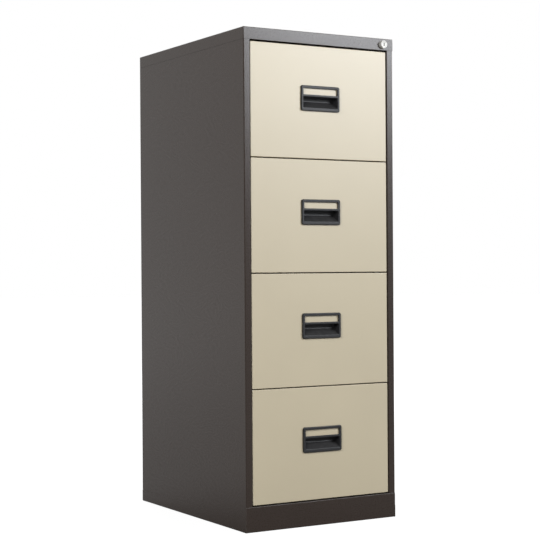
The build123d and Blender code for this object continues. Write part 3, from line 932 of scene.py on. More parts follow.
@dataclass(frozen=True)
class PolishedPlate:
    """Satin nickel-chrome plate with the haze and fine scratches of use."""

    name: str
    colour: Colour
    # Colour of the painted shade and grime in the key slot and other hollows
    grime_and_shade: Colour = (0.01, 0.01, 0.01)
    roughness: float = 0.42
    most_haze: float = 0.1
    sheen_share: float = 0.3
    drift: float = 0.05
    scratch_depth: float = 0.0015 * MM
    scratch_stretch: Triple = (1.0, 1.0, 0.04)
    haze_breaks: Point = (0.4, 0.7)

    def make(self, shelf: GroupShelf) -> Material:
        """Builds the plating's material.

        Args:
            shelf: The shader groups.

        Returns:
            The material.
        """
        bench = MaterialBench(self.name, shelf)
        nodes = bench.nodes
        clouds = nodes.noise(scale=300.0, detail=4.0, roughness=0.6)
        haze = nodes.remap(clouds, self.haze_breaks, (0.0, self.most_haze))
        scratches = nodes.noise(scale=2500.0, detail=2.0, stretch=self.scratch_stretch)
        tone = bench.group(GroupName.TONE_DRIFT, Scale=120.0, Speckle=0.4)["Tone"]
        # Painted shade with some grime: darkens the key slot and the corner by the sleeve
        grime_and_shade = bench.mask(GroupName.CREVICE_SHADE_AND_GRIME, Reach=2.5 * MM, Amount=0.3, Scale=200.0)
        return bench.finish(
            Base_Color=nodes.mix_colour(grime_and_shade, bench.shaded(self.colour, tone, self.drift), self.grime_and_shade),
            Metallic=self.sheen_share,
            Roughness=nodes.plus(haze, self.roughness),
            Normal=bench.bump(scratches, self.scratch_depth),
        )


class Finish(Enum):
    """The record's material slots with the finish of each."""

    COFFEE_STEEL = PowderCoat("coffee_steel", (0.0372, 0.0266, 0.0212), gloss=0.425)
    CREAM_STEEL = PowderCoat(
        "cream_steel",
        (0.522, 0.452, 0.314),
        # Painted shade and grime in the cream's seams: its dark brown colour, and below how strong it is
        grime_and_shade=(0.1, 0.08, 0.06),
        roughness=0.4,
        gloss=0.88,
        wear=0.08,
        seam_dirt_and_shade=0.15,
    )
    BLACK_PLASTIC = MouldedPlastic("black_plastic", (0.0178, 0.0177, 0.0186))
    ZINC_STEEL = ZincPlate("zinc_steel", (0.48, 0.48, 0.47))
    CHROME = PolishedPlate("chrome", (0.52, 0.51, 0.48))


@dataclass
class Paintshop:
    """Gives pieces and carried-over CAD nodes their finish."""

    shelf: GroupShelf = field(default_factory=GroupShelf)
    materials: dict[Finish, Material] = field(default_factory=dict)

    def material(self, finish: Finish) -> Material:
        """The material of a finish, made on first use.

        Args:
            finish: The finish.

        Returns:
            Its material.
        """
        if finish not in self.materials:
            self.materials[finish] = finish.value.make(self.shelf)
        return self.materials[finish]

    def dress(self, piece: Piece, finish: Finish) -> None:
        """Puts one finish all over a piece."""
        piece.data.materials.clear()
        piece.data.materials.append(self.material(finish))

    def dress_frame(self) -> None:
        """Dresses every CAD node by the slot that the record gives it."""
        finishes = {finish.value.name: finish for finish in Finish}
        for part in frame["record"]["subparts"]:
            node = frame["nodes"][part["node"]]
            if not node.material_slots:
                node.data.materials.append(None)
            for slot in node.material_slots:
                slot.material = self.material(finishes[part["material_slot"]])


@dataclass
class SubAssembly:
    """What all sub-assemblies share: a paintshop, a sheet, and ways to fold and to hand over pieces."""

    paintshop: Paintshop
    sheet: FoldedSheet = field(default=FoldedSheet(), kw_only=True)

    def fold(
        self,
        name: str,
        path: Sequence[Point],
        axis: Axis,
        ends: Sequence[float],
        radii: Sequence[float] = (),
        flip: int = 1,
    ) -> Piece:
        """Folds a piece from a strip of the sheet.

        Args:
            name: The piece's name.
            path: The corners of one face of its section.
            axis: The axis that it runs along.
            ends: Where it starts and ends on the axis.
            radii: The outer radius of each bend, where they aren't all the sheet's own.
            flip: Minus one mirrors it to the other side of the cabinet.

        Returns:
            The piece.
        """
        bm = bmesh.new()
        prism(bm, self.sheet.section(path, radii), axis, *ends)
        for corner in bm.verts:
            corner.co.x *= flip
        return to_object(name, bm)

    def hand_over(self, piece: Piece, body: str, finish: Finish, *nodes: str, edge: float = 0.0) -> None:
        """Dresses a piece and puts it on its body.

        Args:
            piece: The mesh object.
            body: The CAD body that it rides on.
            finish: Its finish, which also names its material slot.
            nodes: The CAD nodes that it stands for.
            edge: How wide its sharp edges are softened.
        """
        if edge:
            soften_edges(piece, edge)
        modify(piece, "WEIGHTED_NORMAL", mode="FACE_AREA", weight=50, keep_sharp=True)
        self.paintshop.dress(piece, finish)
        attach(piece, body)
        if nodes:
            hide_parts(*nodes)
        LOG.info("piece %s rides on %s: %d faces", piece.name, body, len(piece.data.polygons))


@dataclass
class Carcass(SubAssembly):
    """Folded outer sheets of the cabinet: the cap, the side panels, the back and the base."""

    corner_bend: float = 2.4 * MM
    stile_bend: float = 1.0 * MM
    cap_edge: float = 1.8 * MM
    cap_drop: float = 1.4 * MM
    cap_lip: float = 14.0 * MM
    cap_lip_rise: float = 6.0 * MM
    lock_hole: float = 5.0 * MM
    hole_faces: int = 64
    stile_lip: float = 12.0 * MM
    rear_return: float = 22.0 * MM
    opening_half: float = 214.0 * MM
    plinth_lip: float = 18.0 * MM
    floor_flange: float = 26.0 * MM
    base_flange: float = 32.0 * MM
    back_lip: float = 16.0 * MM
    paint_edge: float = 0.25 * MM
    rolled_edge: float = 0.38 * MM
    rivet_radius: float = 2.4 * MM
    rivet_height: float = 0.8 * MM
    rivet_rim: tuple[Point, ...] = ((0, -1), (1, -1), (1, -0.1), (0.85, 0))
    rivet_dimple: tuple[Point, ...] = ((0.55, 0), (0.45, -0.4), (0, -0.4))
    rivet_faces: int = 20
    rivets_per_side: int = 6

    def build(self) -> None:
        """Builds and dresses the carcass."""
        self.build_cap()
        self.build_cap_lip()
        for side in Side:
            self.build_side(side)
            self.build_base_side(side)
        self.build_plinth()
        self.build_base_rear()
        self.build_back()
        self.build_back_rivets()

    def steel(self, piece: Piece, *nodes: str) -> None:
        """Softens a sheet's cut edges, paints it and fixes it to the cabinet."""
        self.hand_over(piece, "cabinet", Finish.COFFEE_STEEL, *nodes, edge=self.paint_edge)

    def build_cap(self) -> None:
        """Top cap: a lid with round edges and corners and the lock's hole."""
        low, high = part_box("top_cap")
        rim = (low.x, low.y, low.z - self.cap_drop)
        cap = pan("cap_lid", rim, tuple(high), (0.0, 0.0, -1.0), self.cap_edge, self.sheet.thickness)
        lock_low, lock_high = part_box("lock_housing")
        centre = ((lock_low.x + lock_high.x) / 2, (lock_low.z + lock_high.z) / 2)
        hole = circle(centre, (lock_high.x - lock_low.x) / 2, self.hole_faces)
        cut(cap, lambda tool: prism(tool, hole, Axis.Y, low.y - SPARE, low.y + self.lock_hole))
        self.hand_over(cap, "cabinet", Finish.COFFEE_STEEL, "top_cap", edge=self.rolled_edge)

    def build_cap_lip(self) -> None:
        """Lip behind the cap's front flange, folded back under the opening's top."""
        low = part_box("top_cap")[0]
        rim = low.z - self.cap_drop
        half = self.opening_half - self.sheet.thickness
        front = low.y + self.sheet.thickness
        path = [(front, rim + self.cap_lip_rise), (front, rim), (front + self.cap_lip, rim)]
        self.steel(self.fold("cap_lip", path, Axis.X, (-half, half)))

    def build_side(self, side: Side) -> None:
        """Side panel: one sheet folded round the stile in front and the return behind.

        Args:
            side: Which side of the cabinet.
        """
        node = f"{side.label}_side_panel"
        low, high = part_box(node)
        outer = max(abs(low.x), abs(high.x))
        path = [
            (-outer + self.rear_return, high.y),
            (-outer, high.y),
            (-outer, low.y),
            (-self.opening_half, low.y),
            (-self.opening_half, low.y + self.stile_lip),
        ]
        bends = (self.corner_bend, self.corner_bend, self.stile_bend)
        panel = self.fold(f"{side.label}_panel", path, Axis.Z, (low.z, high.z), bends, -side.value)
        plinth_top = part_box("base_plinth")[1].z
        inner = outer - self.sheet.thickness
        foot = side.span(self.opening_half - SPARE, inner)
        skin = side.span(inner - SPARE, outer + SPARE)
        for (start, end), depth in ((foot, self.stile_lip + SPARE), (skin, self.sheet.thickness)):
            cut_box(panel, (start, low.y - SPARE, low.z - SPARE), (end, low.y + depth, plinth_top))
        self.steel(panel, node)

    def build_plinth(self) -> None:
        """Front of the base: a tall face with a lip along its top and a flange on the floor."""
        low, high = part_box("base_plinth")
        panel_low, panel_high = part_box("right_side_panel")
        outer = panel_high.x
        path = [
            (low.y + self.plinth_lip, high.z),
            (low.y, high.z),
            (low.y, low.z),
            (low.y + self.floor_flange, low.z),
        ]
        bends = (self.stile_bend, self.sheet.radius)
        plinth = self.fold("plinth_face", path, Axis.X, (-outer, outer), bends)
        back = low.y + self.floor_flange + SPARE
        for side in Side:
            start, end = side.span(outer - self.sheet.thickness, outer + SPARE)
            cut_box(plinth, (start, low.y + self.sheet.thickness, panel_low.z), (end, back, high.z + SPARE))
        self.steel(plinth, "base_plinth")

    def build_base_side(self, side: Side) -> None:
        """Low flange outside the foot of a side panel, turned in on the floor between front and rear.

        Args:
            side: Which side of the cabinet.
        """
        low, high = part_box("base_plinth")
        path = [(-high.x, self.base_flange), (-high.x, low.z), (-high.x + self.floor_flange, low.z)]
        name = f"base_{side.label}_flange"
        flange = self.fold(name, path, Axis.Y, (low.y, high.y), flip=-side.value)
        left, right = side.span(high.x - 2 * self.sheet.radius, high.x - self.floor_flange - SPARE)
        for start, end in (
            (low.y - SPARE, low.y + self.floor_flange),
            (high.y - self.floor_flange, high.y + SPARE),
        ):
            cut_box(flange, (left, start, -SPARE), (right, end, SPARE))
        self.steel(flange)

    def build_base_rear(self) -> None:
        """Low rear flange of the base, turned in on the floor."""
        low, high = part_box("base_plinth")
        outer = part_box("right_side_panel")[1].x
        path = [(high.y - self.floor_flange, low.z), (high.y, low.z), (high.y, self.base_flange)]
        self.steel(self.fold("base_rear_flange", path, Axis.X, (-outer, outer)))

    def build_back(self) -> None:
        """Back sheet over the side panels' returns, folded in along its top and bottom."""
        low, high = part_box("back_panel")
        path = [
            (high.y - self.back_lip, low.z),
            (high.y, low.z),
            (high.y, high.z),
            (high.y - self.back_lip, high.z),
        ]
        sheet = self.fold("back_sheet", path, Axis.X, (low.x, high.x))
        edge = high.x - self.rear_return - self.sheet.thickness
        behind = high.y - self.sheet.thickness
        for side in Side:
            start, end = side.span(edge, high.x + SPARE)
            cut_box(sheet, (start, 0.0, low.z - SPARE), (end, behind, high.z + SPARE))
        self.steel(sheet, "back_panel")

    def build_back_rivets(self) -> None:
        """Blind rivets, set flush with the cap's rear edge, that hold the back to the panels' returns."""
        low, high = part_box("back_panel")
        bm = bmesh.new()
        for side in Side:
            x = side.value * (high.x - self.rear_return / 2)
            for index in range(self.rivets_per_side):
                share = (index + 0.5) / self.rivets_per_side
                self.add_rivet(bm, (x, high.y, low.z + (high.z - low.z) * share))
        self.hand_over(to_object("back_rivets", bm), "cabinet", Finish.COFFEE_STEEL)

    def add_rivet(self, bm: Mesh, centre: Triple) -> None:
        """Adds a rivet head with a dimple, whose rim is flush with the sheet.

        Args:
            bm: The mesh that takes the rivet.
            centre: The middle of its head.
        """
        radius, height = self.rivet_radius, self.rivet_height
        shares = self.rivet_rim + self.rivet_dimple
        profile = [(radius * across, height * along) for across, along in shares]
        lathe(bm, centre, profile, self.rivet_faces)


@dataclass
class DrawerPart(SubAssembly):
    """A sub-assembly of one drawer."""

    number: int

    @property
    def body(self) -> str:
        """The drawer's CAD body."""
        return f"drawer_{self.number}"

    def node(self, part: str) -> str:
        """The CAD node of a part of the drawer."""
        return f"{self.body}_{part}"


@dataclass(frozen=True)
class HandleSizes:
    """Sizes of the moulded handle, from its lower left corner."""

    corner: float = 5.0 * MM
    bevel: float = 1.8 * MM
    window_half: float = 53.0 * MM
    window_height: float = 17.0 * MM
    window_drop: float = 7.0 * MM
    window_corner: float = 1.2 * MM
    window_edge: float = 0.5 * MM
    mouth_half: float = 53.5 * MM
    mouth_height: float = 29.0 * MM
    mouth_bottom: float = 8.5 * MM
    mouth_edge: float = 0.9 * MM
    depth: float = 21.0 * MM
    draft: float = 4.5 * MM
    fold: float = 16.0 * MM
    scoop: float = 6.0 * MM
    ceiling_round: float = 2.5 * MM
    wall_lean: float = 1.4 * MM
    wall_foot: float = 0.5 * MM
    side_round: float = 3.0 * MM
    inner_corner: float = 3.0 * MM
    undercut: float = 2.5 * MM
    wall: float = 2.0 * MM
    cup_corner: float = 3.0 * MM
    cup_middle: float = 0.6
    mouth_corner: float = 2.4 * MM
    bar_corner: float = 2.0 * MM
    most_corner: float = 0.45
    undercut_start: float = 0.4 * MM
    ceiling_steps: tuple[float, ...] = (0.0, 0.9 * MM, 1.7 * MM, 2.2 * MM)
    frame_turns: tuple[float, ...] = (20, 40, 60, 80, 90)
    mouth_turns: tuple[float, ...] = (25, 50, 70, 90)
    scoop_turns: tuple[float, ...] = (50.1, 54, 58, 62, 66, 70, 74, 78, 82, 86, 90)
    corner_steps: int = 6
    shading: float = 28.0

    @property
    def rise(self) -> float:
        """How steep the recess's floor is."""
        return self.fold / self.depth

    def floor(self, depth: float) -> float:
        """Height of the finger recess's sloping floor at a depth, with the scoop before the back wall.

        Args:
            depth: How far behind the handle's face.

        Returns:
            The height above the lower edge of the mouth.
        """
        lean = math.hypot(1.0, self.rise)
        centre = self.depth - self.scoop
        if depth <= centre + self.scoop * self.rise / lean:
            return self.rise * depth
        across = min(depth - centre, self.scoop)
        return self.rise * centre + self.scoop * lean - math.sqrt(self.scoop**2 - across**2)

    def ceiling(self, depth: float, proud: float) -> float:
        """Height of the recess's ceiling at a depth, with the back wall that leans forward from the scoop.

        Args:
            depth: How far behind the handle's face.
            proud: The depth from which the ceiling rises behind the grip bar for the finger tips.

        Returns:
            The height above the lower edge of the mouth.
        """
        top = self.mouth_height + (self.undercut if depth > proud else 0.0)
        wall_top = self.depth - self.wall_lean
        if depth <= wall_top:
            return top - self.rounded(depth, self.ceiling_round, wall_top)
        share = (depth - wall_top) / self.wall_lean
        foot = self.floor(self.depth) + self.wall_foot
        return (top - self.ceiling_round) * (1 - share) + foot * share

    def half(self, depth: float) -> float:
        """Half the recess's width at a depth."""
        slope = self.draft * depth / self.depth
        return self.mouth_half - slope - self.rounded(depth, self.side_round, self.depth)

    def rounded(self, depth: float, radius: float, end: float) -> float:
        """How far a round that ends at one depth has moved a wall in at another."""
        across = min(max(depth - (end - radius), 0.0), radius)
        return radius - math.sqrt(radius**2 - across**2)


@dataclass
class DrawerFront(DrawerPart):
    """Cream outer skin of a drawer's front."""

    round_edge: float = 1.2 * MM
    side_reach: float = 0.8 * MM
    deburred: float = 0.1 * MM
    cup_gap: float = 0.4 * MM
    cup_above: float = 5.0 * MM
    cup_behind: float = 3.0 * MM

    def build(self) -> None:
        """Builds the skin: a shallow pan with round edges and the hole for the handle's cup."""
        node = self.node("front")
        low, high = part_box(node)
        wide_low = (low.x - self.side_reach, low.y, low.z)
        wide_high = (high.x + self.side_reach, high.y, high.z)
        name = f"front_skin_{self.number}"
        skin = pan(name, wide_low, wide_high, (0.0, 1.0, 0.0), self.round_edge, self.sheet.thickness)
        sizes = HandleSizes()
        half = sizes.mouth_half + sizes.wall + self.cup_gap
        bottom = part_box(self.node("handle"))[0].z + sizes.mouth_bottom - self.cup_gap
        top = bottom + sizes.mouth_height + self.cup_above
        cut_box(skin, (-half, low.y - SPARE, bottom), (half, low.y + self.cup_behind, top))
        self.hand_over(skin, self.body, Finish.CREAM_STEEL, node, edge=self.deburred)


@dataclass
class Handle(DrawerPart):
    """Moulded handle: a bevelled frame with a label window above a finger recess."""

    sizes: HandleSizes = HandleSizes()
    least_corner: float = 0.2 * MM

    def build(self) -> None:
        """Builds the handle as one closed moulding."""
        node = self.node("handle")
        self.low, self.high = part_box(node)
        self.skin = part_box(self.node("front"))[0].y
        self.proud = self.skin - self.low.y
        self.mouth = self.low.z + self.sizes.mouth_bottom
        bm = bmesh.new()
        frame_front, frame_back = self.add_frame(bm)
        window_front, window_back = self.add_window(bm)
        mouth = self.add_recess(bm)
        cup = self.add_cup(bm)
        fill(bm, frame_front, window_front, mouth)
        fill(bm, frame_back, window_back, cup)
        moulding = to_object(f"pull_handle_{self.number}", bm, self.sizes.shading)
        self.hand_over(moulding, self.body, Finish.BLACK_PLASTIC, node)

    def add_rings(
        self, bm: Mesh, low: Point, high: Point, radius: float, steps: Sequence[Point]
    ) -> tuple[Ring, Ring]:
        """Adds walls of one rounded rectangle that grows or shrinks over its depth.

        Args:
            bm: The mesh that takes the walls.
            low: The rectangle's low corner.
            high: The rectangle's high corner.
            radius: The radius of its corners.
            steps: For each ring from back to front how far it is inside the rectangle, and its place on Y.

        Returns:
            The front and the back ring.
        """
        rings = []
        for inset, depth in steps:
            near = (low[0] + inset, low[1] + inset)
            far = (high[0] - inset, high[1] - inset)
            corner = max(radius - inset, self.least_corner)
            outline = rounded_rectangle(near, far, corner, self.sizes.corner_steps)
            rings.append(ring(bm, outline, Axis.Y, depth))
        loft(bm, rings)
        return rings[-1], rings[0]

    def add_frame(self, bm: Mesh) -> tuple[Ring, Ring]:
        """Adds the frame's rim.

        Args:
            bm: The mesh that takes it.

        Returns:
            Its front and back ring.
        """
        bevel = self.sizes.bevel
        front = self.low.y
        steps = [(0.0, self.skin), (0.0, front + bevel)]
        for turn in map(math.radians, self.sizes.frame_turns):
            steps.append((bevel * (1 - math.cos(turn)), front + bevel * (1 - math.sin(turn))))
        corners = (self.low.x, self.low.z), (self.high.x, self.high.z)
        return self.add_rings(bm, *corners, self.sizes.corner, steps)

    def add_window(self, bm: Mesh) -> tuple[Ring, Ring]:
        """Adds the label window's walls.

        Args:
            bm: The mesh that takes them.

        Returns:
            Their front and back ring.
        """
        sizes = self.sizes
        top = self.high.z - sizes.window_drop
        corners = (-sizes.window_half, top - sizes.window_height), (sizes.window_half, top)
        soft = sizes.window_edge
        middle = ROUND_SHARE * soft
        front = self.low.y
        steps = [(0.0, self.skin), (0.0, front + soft), (-middle, front + middle), (-soft, front)]
        return self.add_rings(bm, *corners, sizes.window_corner, steps)

    def recess_ring(self, bm: Mesh, depth: float, extra: float, radius: float) -> Ring:
        """One ring of the inside of the finger recess.

        Args:
            bm: The mesh that takes the corners.
            depth: How far behind the handle's face the ring lies.
            extra: How far outside the recess it lies, for the round at its mouth.
            radius: The radius of its corners.

        Returns:
            The ring.
        """
        sizes = self.sizes
        half = sizes.half(depth) + extra
        floor = self.mouth + sizes.floor(depth) - extra
        ceiling = self.mouth + sizes.ceiling(depth, self.proud) + extra
        corner = min(radius, sizes.most_corner * (ceiling - floor))
        outline = rounded_rectangle((-half, floor), (half, ceiling), corner, sizes.corner_steps)
        return ring(bm, outline, Axis.Y, self.low.y + depth)

    def add_recess(self, bm: Mesh) -> Ring:
        """Adds the inside of the finger recess: its mouth, grip bar, sloping floor and scooped back.

        Args:
            bm: The mesh that takes it.

        Returns:
            The ring at its mouth.
        """
        sizes = self.sizes
        lip = sizes.mouth_edge
        places = [(0.0, lip, sizes.mouth_corner)]
        for turn in map(math.radians, sizes.mouth_turns):
            places.append((lip * (1 - math.cos(turn)), lip * (1 - math.sin(turn)), sizes.bar_corner))
        places.append((self.proud, 0.0, sizes.bar_corner))
        places.append((self.proud + sizes.undercut_start, 0.0, sizes.mouth_corner))
        rounding = sizes.depth - sizes.wall_lean - sizes.ceiling_round
        depths = [sizes.depth - sizes.scoop]
        depths += [rounding + step for step in sizes.ceiling_steps]
        for turn in map(math.radians, sizes.scoop_turns):
            depths.append(sizes.depth - sizes.scoop * (1 - math.sin(turn)))
        places += [(depth, 0.0, sizes.inner_corner) for depth in depths]
        rings = [self.recess_ring(bm, *place) for place in places]
        loft(bm, rings)
        bm.faces.new(rings[-1])
        return rings[0]

    def add_cup(self, bm: Mesh) -> Ring:
        """Adds the outside of the cup.

        Args:
            bm: The mesh that takes it.

        Returns:
            Its ring behind the frame.
        """
        sizes = self.sizes
        ceiling = self.mouth + sizes.mouth_height + sizes.undercut + sizes.wall
        rings = []
        for depth in (self.proud, sizes.depth * sizes.cup_middle, sizes.depth + sizes.wall):
            half = sizes.mouth_half - sizes.draft * depth / sizes.depth + sizes.wall
            floor = self.mouth + sizes.rise * depth - sizes.wall * math.hypot(1.0, sizes.rise)
            outline = rounded_rectangle((-half, floor), (half, ceiling), sizes.cup_corner, sizes.corner_steps)
            rings.append(ring(bm, outline, Axis.Y, self.low.y + depth))
        loft(bm, rings)
        bm.faces.new(rings[-1])
        return rings[0]


@dataclass
class Tray(DrawerPart):
    """Folded steel tray of a drawer, with file rails along the top of its sides."""

    rail_width: float = 8.0 * MM
    rail_drop: float = 10.0 * MM
    back_height: float = 215.0 * MM
    back_lip: float = 12.0 * MM
    front_flange: float = 14.0 * MM
    deburred: float = 0.15 * MM

    def build(self) -> None:
        """Builds the tray's floor and sides, its back and the flange that the front is fixed to."""
        self.low, self.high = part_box(self.node("tray"))
        self.inside = self.high.x - self.sheet.thickness
        self.floor = self.low.z + self.sheet.thickness
        self.build_shell()
        self.build_back()
        self.build_flange()

    def steel(self, piece: Piece, *nodes: str) -> None:
        """Softens a piece's cut edges, paints it and puts it on the drawer."""
        self.hand_over(piece, self.body, Finish.COFFEE_STEEL, *nodes, edge=self.deburred)

    def build_shell(self) -> None:
        """Floor, sides and file rails, folded from one sheet."""
        low, high = self.low, self.high
        rail = high.x - self.rail_width
        half = [(rail, high.z - self.rail_drop), (rail, high.z), (high.x, high.z), (high.x, low.z)]
        path = [(-x, z) for x, z in half] + half[::-1]
        self.steel(self.fold(f"tray_shell_{self.number}", path, Axis.Y, (low.y, high.y)), self.node("tray"))

    def build_back(self) -> None:
        """Back of the tray, with a lip turned in along its top."""
        rear = self.high.y
        top = self.low.z + self.back_height
        path = [(rear, self.floor), (rear, top), (rear - self.back_lip, top)]
        self.steel(self.fold(f"tray_back_{self.number}", path, Axis.X, (-self.inside, self.inside)))

    def build_flange(self) -> None:
        """Flange round the tray's front end."""
        clear = self.inside - self.front_flange
        sill = self.floor + self.front_flange
        top = self.high.z - self.rail_drop - self.sheet.thickness
        half = [(self.inside, self.floor), (self.inside, top), (clear, top), (clear, sill)]
        outline = [(-self.inside, self.floor), *half, *((-x, z) for x, z in half[:0:-1])]
        bm = bmesh.new()
        prism(bm, outline, Axis.Y, self.low.y, self.low.y + self.sheet.thickness)
        self.steel(to_object(f"tray_flange_{self.number}", bm))


@dataclass
class RunnerMembers(DrawerPart):
    """The three telescoping members of one drawer's runners, roll-formed channels on both sides."""

    sheet: FoldedSheet = field(default=FoldedSheet(1.2 * MM, 2.2 * MM), kw_only=True)
    deburred: float = 0.15 * MM

    def build(self) -> None:
        """Builds the fixed, middle and drawer members."""
        self.build_member("cabinet", "cabinet", opens_in=True)
        self.build_member("middle", self.node("middle"), opens_in=True)
        self.build_member("drawer", self.body, opens_in=False)

    def build_member(self, kind: str, body: str, opens_in: bool) -> None:
        """Builds one member on both sides of the cabinet.

        Args:
            kind: Which member.
            body: The body that it rides on.
            opens_in: Whether the channel's open side faces the drawer.
        """
        node = self.node(f"{kind}_runners")
        low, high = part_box(node)
        corners = frame["nodes"][node].data.vertices
        near = min(corner.co.x for corner in corners if corner.co.x > high.x / 2)
        if opens_in:
            path = [(near, low.z), (high.x, low.z), (high.x, high.z), (near, high.z)]
        else:
            path = [(high.x, high.z), (near, high.z), (near, low.z), (high.x, low.z)]
        outline = self.sheet.section(path)
        bm = bmesh.new()
        for sign in (1, -1):
            prism(bm, [(sign * x, z) for x, z in outline], Axis.Y, low.y, high.y)
        piece = to_object(f"{kind}_member_{self.number}", bm)
        self.hand_over(piece, body, Finish.ZINC_STEEL, node, edge=self.deburred)


@dataclass
class RunnerBalls(DrawerPart):
    """Ball cages of one drawer's runners, between its members on both sides."""

    sheet: FoldedSheet = field(default=FoldedSheet(0.4 * MM, 0.9 * MM, 3), kw_only=True)
    channel: float = 1.2 * MM
    ball_pitch: float = 18.0 * MM
    ball_inset: float = 4.2 * MM
    ball_cover: float = 0.9
    ball_shading: float = 80.0
    length: float = 246.0 * MM
    from_middle: float = 10.0 * MM
    clearance: float = 0.05 * MM

    def build(self) -> None:
        """Builds the cages and their balls, which travel with the middle members."""
        lows, highs = zip(*(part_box(self.node(f"{kind}_runners")) for kind in ("cabinet", "middle", "drawer")))
        self.cages, self.balls = bmesh.new(), bmesh.new()
        self.height = (lows[1].z + highs[1].z) / 2
        middle_y = (lows[0].y + highs[0].y) / 2
        starts = (middle_y + self.from_middle, middle_y - self.length - self.from_middle)
        for side in Side:
            for far, near, start in zip(highs, highs[1:], starts):
                self.add_cage(side, far, near, start)
        body = self.node("middle")
        self.hand_over(to_object(f"ball_cages_{self.number}", self.cages), body, Finish.ZINC_STEEL)
        balls = to_object(f"balls_{self.number}", self.balls, self.ball_shading)
        self.hand_over(balls, body, Finish.CHROME)

    def add_cage(self, side: Side, far: Vector, near: Vector, start: float) -> None:
        """Adds one cage and its two rows of balls.

        Args:
            side: The side of the cabinet.
            far: The high corner of the member that the cage runs in.
            near: The high corner of the member that runs in the cage.
            start: Where the cage starts on Y.
        """
        race_top = far.z - self.channel
        half = (race_top + near.z) / 2 - self.height
        radius = (race_top - near.z) / 2 - self.clearance
        web_x = (far.x - self.channel + near.x) / 2
        ball_x = web_x - self.ball_inset
        edge_x = ball_x - radius * self.ball_cover
        path = [(edge_x, half), (web_x, half), (web_x, -half), (edge_x, -half)]
        section = self.sheet.section([(side.value * x, self.height + z) for x, z in path])
        prism(self.cages, section, Axis.Y, start, start + self.length)
        count = int(self.length / self.ball_pitch)
        for index in range(count):
            y = start + (index + 0.5) * self.length / count
            for sign in (-1, 1):
                made = bmesh.ops.create_icosphere(self.balls, subdivisions=2, radius=radius)
                place = (side.value * ball_x, y, self.height + sign * half)
                bmesh.ops.translate(self.balls, verts=made["verts"], vec=place)


@dataclass
class PushLock(SubAssembly):
    """Push lock in the cap's front: sleeve, polished head and key plug."""

    sleeve_wall: float = 1.15 * MM
    sleeve_edge: float = 0.35 * MM
    head_length: float = 22.0 * MM
    head_edge: float = 1.2 * MM
    head_chamfer: float = 0.5 * MM
    head_dish: tuple[Point, ...] = ((0.0, 0.5 * MM), (0.3 * MM, 0.25 * MM), (1.6 * MM, 0.1 * MM))
    head_turns: tuple[float, ...] = (0, 22.5, 45, 67.5, 90)
    plug_gap: float = 0.05 * MM
    plug_end_gap: float = 0.4 * MM
    plug_edge: float = 0.3 * MM
    rod_half: float = 3.5 * MM
    rod_start: float = 0.2 * MM
    rod_nose: float = 1.0 * MM
    rod_taper: float = 3.0 * MM
    slot_width: float = 3.2 * MM
    slot_height: float = 9.0 * MM
    slot_depth: float = 10.0 * MM
    slot_corner: float = 0.3 * MM
    faces: int = 72

    def build(self) -> None:
        """Builds the lock's three visible pieces."""
        self.build_sleeve()
        self.build_head()
        self.build_plug()

    def measure(self, node: str) -> tuple[Vector, float, float]:
        """Measures a round node.

        Args:
            node: The node.

        Returns:
            The middle of its front face, its radius and its length.
        """
        low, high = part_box(node)
        centre = Vector(((low.x + high.x) / 2, low.y, (low.z + high.z) / 2))
        return centre, (high.x - low.x) / 2, high.y - low.y

    def build_sleeve(self) -> None:
        """Sleeve that stands out of the cap as a thin ring with a soft edge."""
        centre, radius, length = self.measure("lock_housing")
        bore, edge = radius - self.sleeve_wall, self.sleeve_edge
        middle = edge * ROUND_SHARE
        inside = [(bore, length), (bore, edge), (bore + middle, middle), (bore + edge, 0)]
        outside = [(radius - edge, 0), (radius - middle, middle), (radius, edge), (radius, length)]
        bm = bmesh.new()
        lathe(bm, centre, [*inside, *outside, inside[0]], self.faces)
        self.hand_over(to_object("lock_sleeve", bm), "cabinet", Finish.CHROME, "lock_housing")

    def build_head(self) -> None:
        """Head with a round edge, a dished ring and the plug's bore, and the square rod behind it."""
        centre, radius, reach = self.measure("lock_barrel")
        plug, plug_radius, plug_length = self.measure("lock_plug")
        bore = plug_radius + self.plug_gap
        bore_depth = plug.y + plug_length - centre.y + self.plug_end_gap
        length, edge, chamfer = self.head_length, self.head_edge, self.head_chamfer
        bm = bmesh.new()
        profile = [(0, bore_depth), (bore, bore_depth)]
        profile += [(bore + across, depth) for across, depth in self.head_dish]
        profile.append((radius - edge - chamfer, 0))
        for turn in map(math.radians, self.head_turns):
            profile.append((radius - edge + edge * math.sin(turn), edge * (1 - math.cos(turn))))
        profile += [(radius, length - chamfer), (radius - chamfer, length), (0, length)]
        lathe(bm, centre, profile, self.faces)
        start, end = centre.y + length - self.rod_start, centre.y + reach
        lower = [(start, -self.rod_half), (end - self.rod_taper, -self.rod_half), (end, -self.rod_nose)]
        corners = [(y, centre.z + z) for y, z in lower] + [(y, centre.z - z) for y, z in lower[::-1]]
        prism(bm, corners, Axis.X, centre.x - self.rod_half, centre.x + self.rod_half)
        self.hand_over(to_object("lock_head", bm), "lock_barrel", Finish.CHROME, "lock_barrel")

    def build_plug(self) -> None:
        """Key plug with a softened rim and the slot for the key."""
        centre, radius, length = self.measure("lock_plug")
        soft = self.plug_edge
        profile = [(0, 0), (radius - soft, 0), (radius, soft), (radius, length), (0, length)]
        bm = bmesh.new()
        lathe(bm, centre, profile, self.faces)
        plug = to_object("key_plug", bm)
        half_w, half_h = self.slot_width / 2, self.slot_height / 2
        low, high = (centre.x - half_w, centre.z - half_h), (centre.x + half_w, centre.z + half_h)
        slot = rounded_rectangle(low, high, self.slot_corner, 2)
        cut(plug, lambda tool: prism(tool, slot, Axis.Y, centre.y - SPARE, centre.y + self.slot_depth))
        self.hand_over(plug, "lock_plug", Finish.CHROME, "lock_plug")


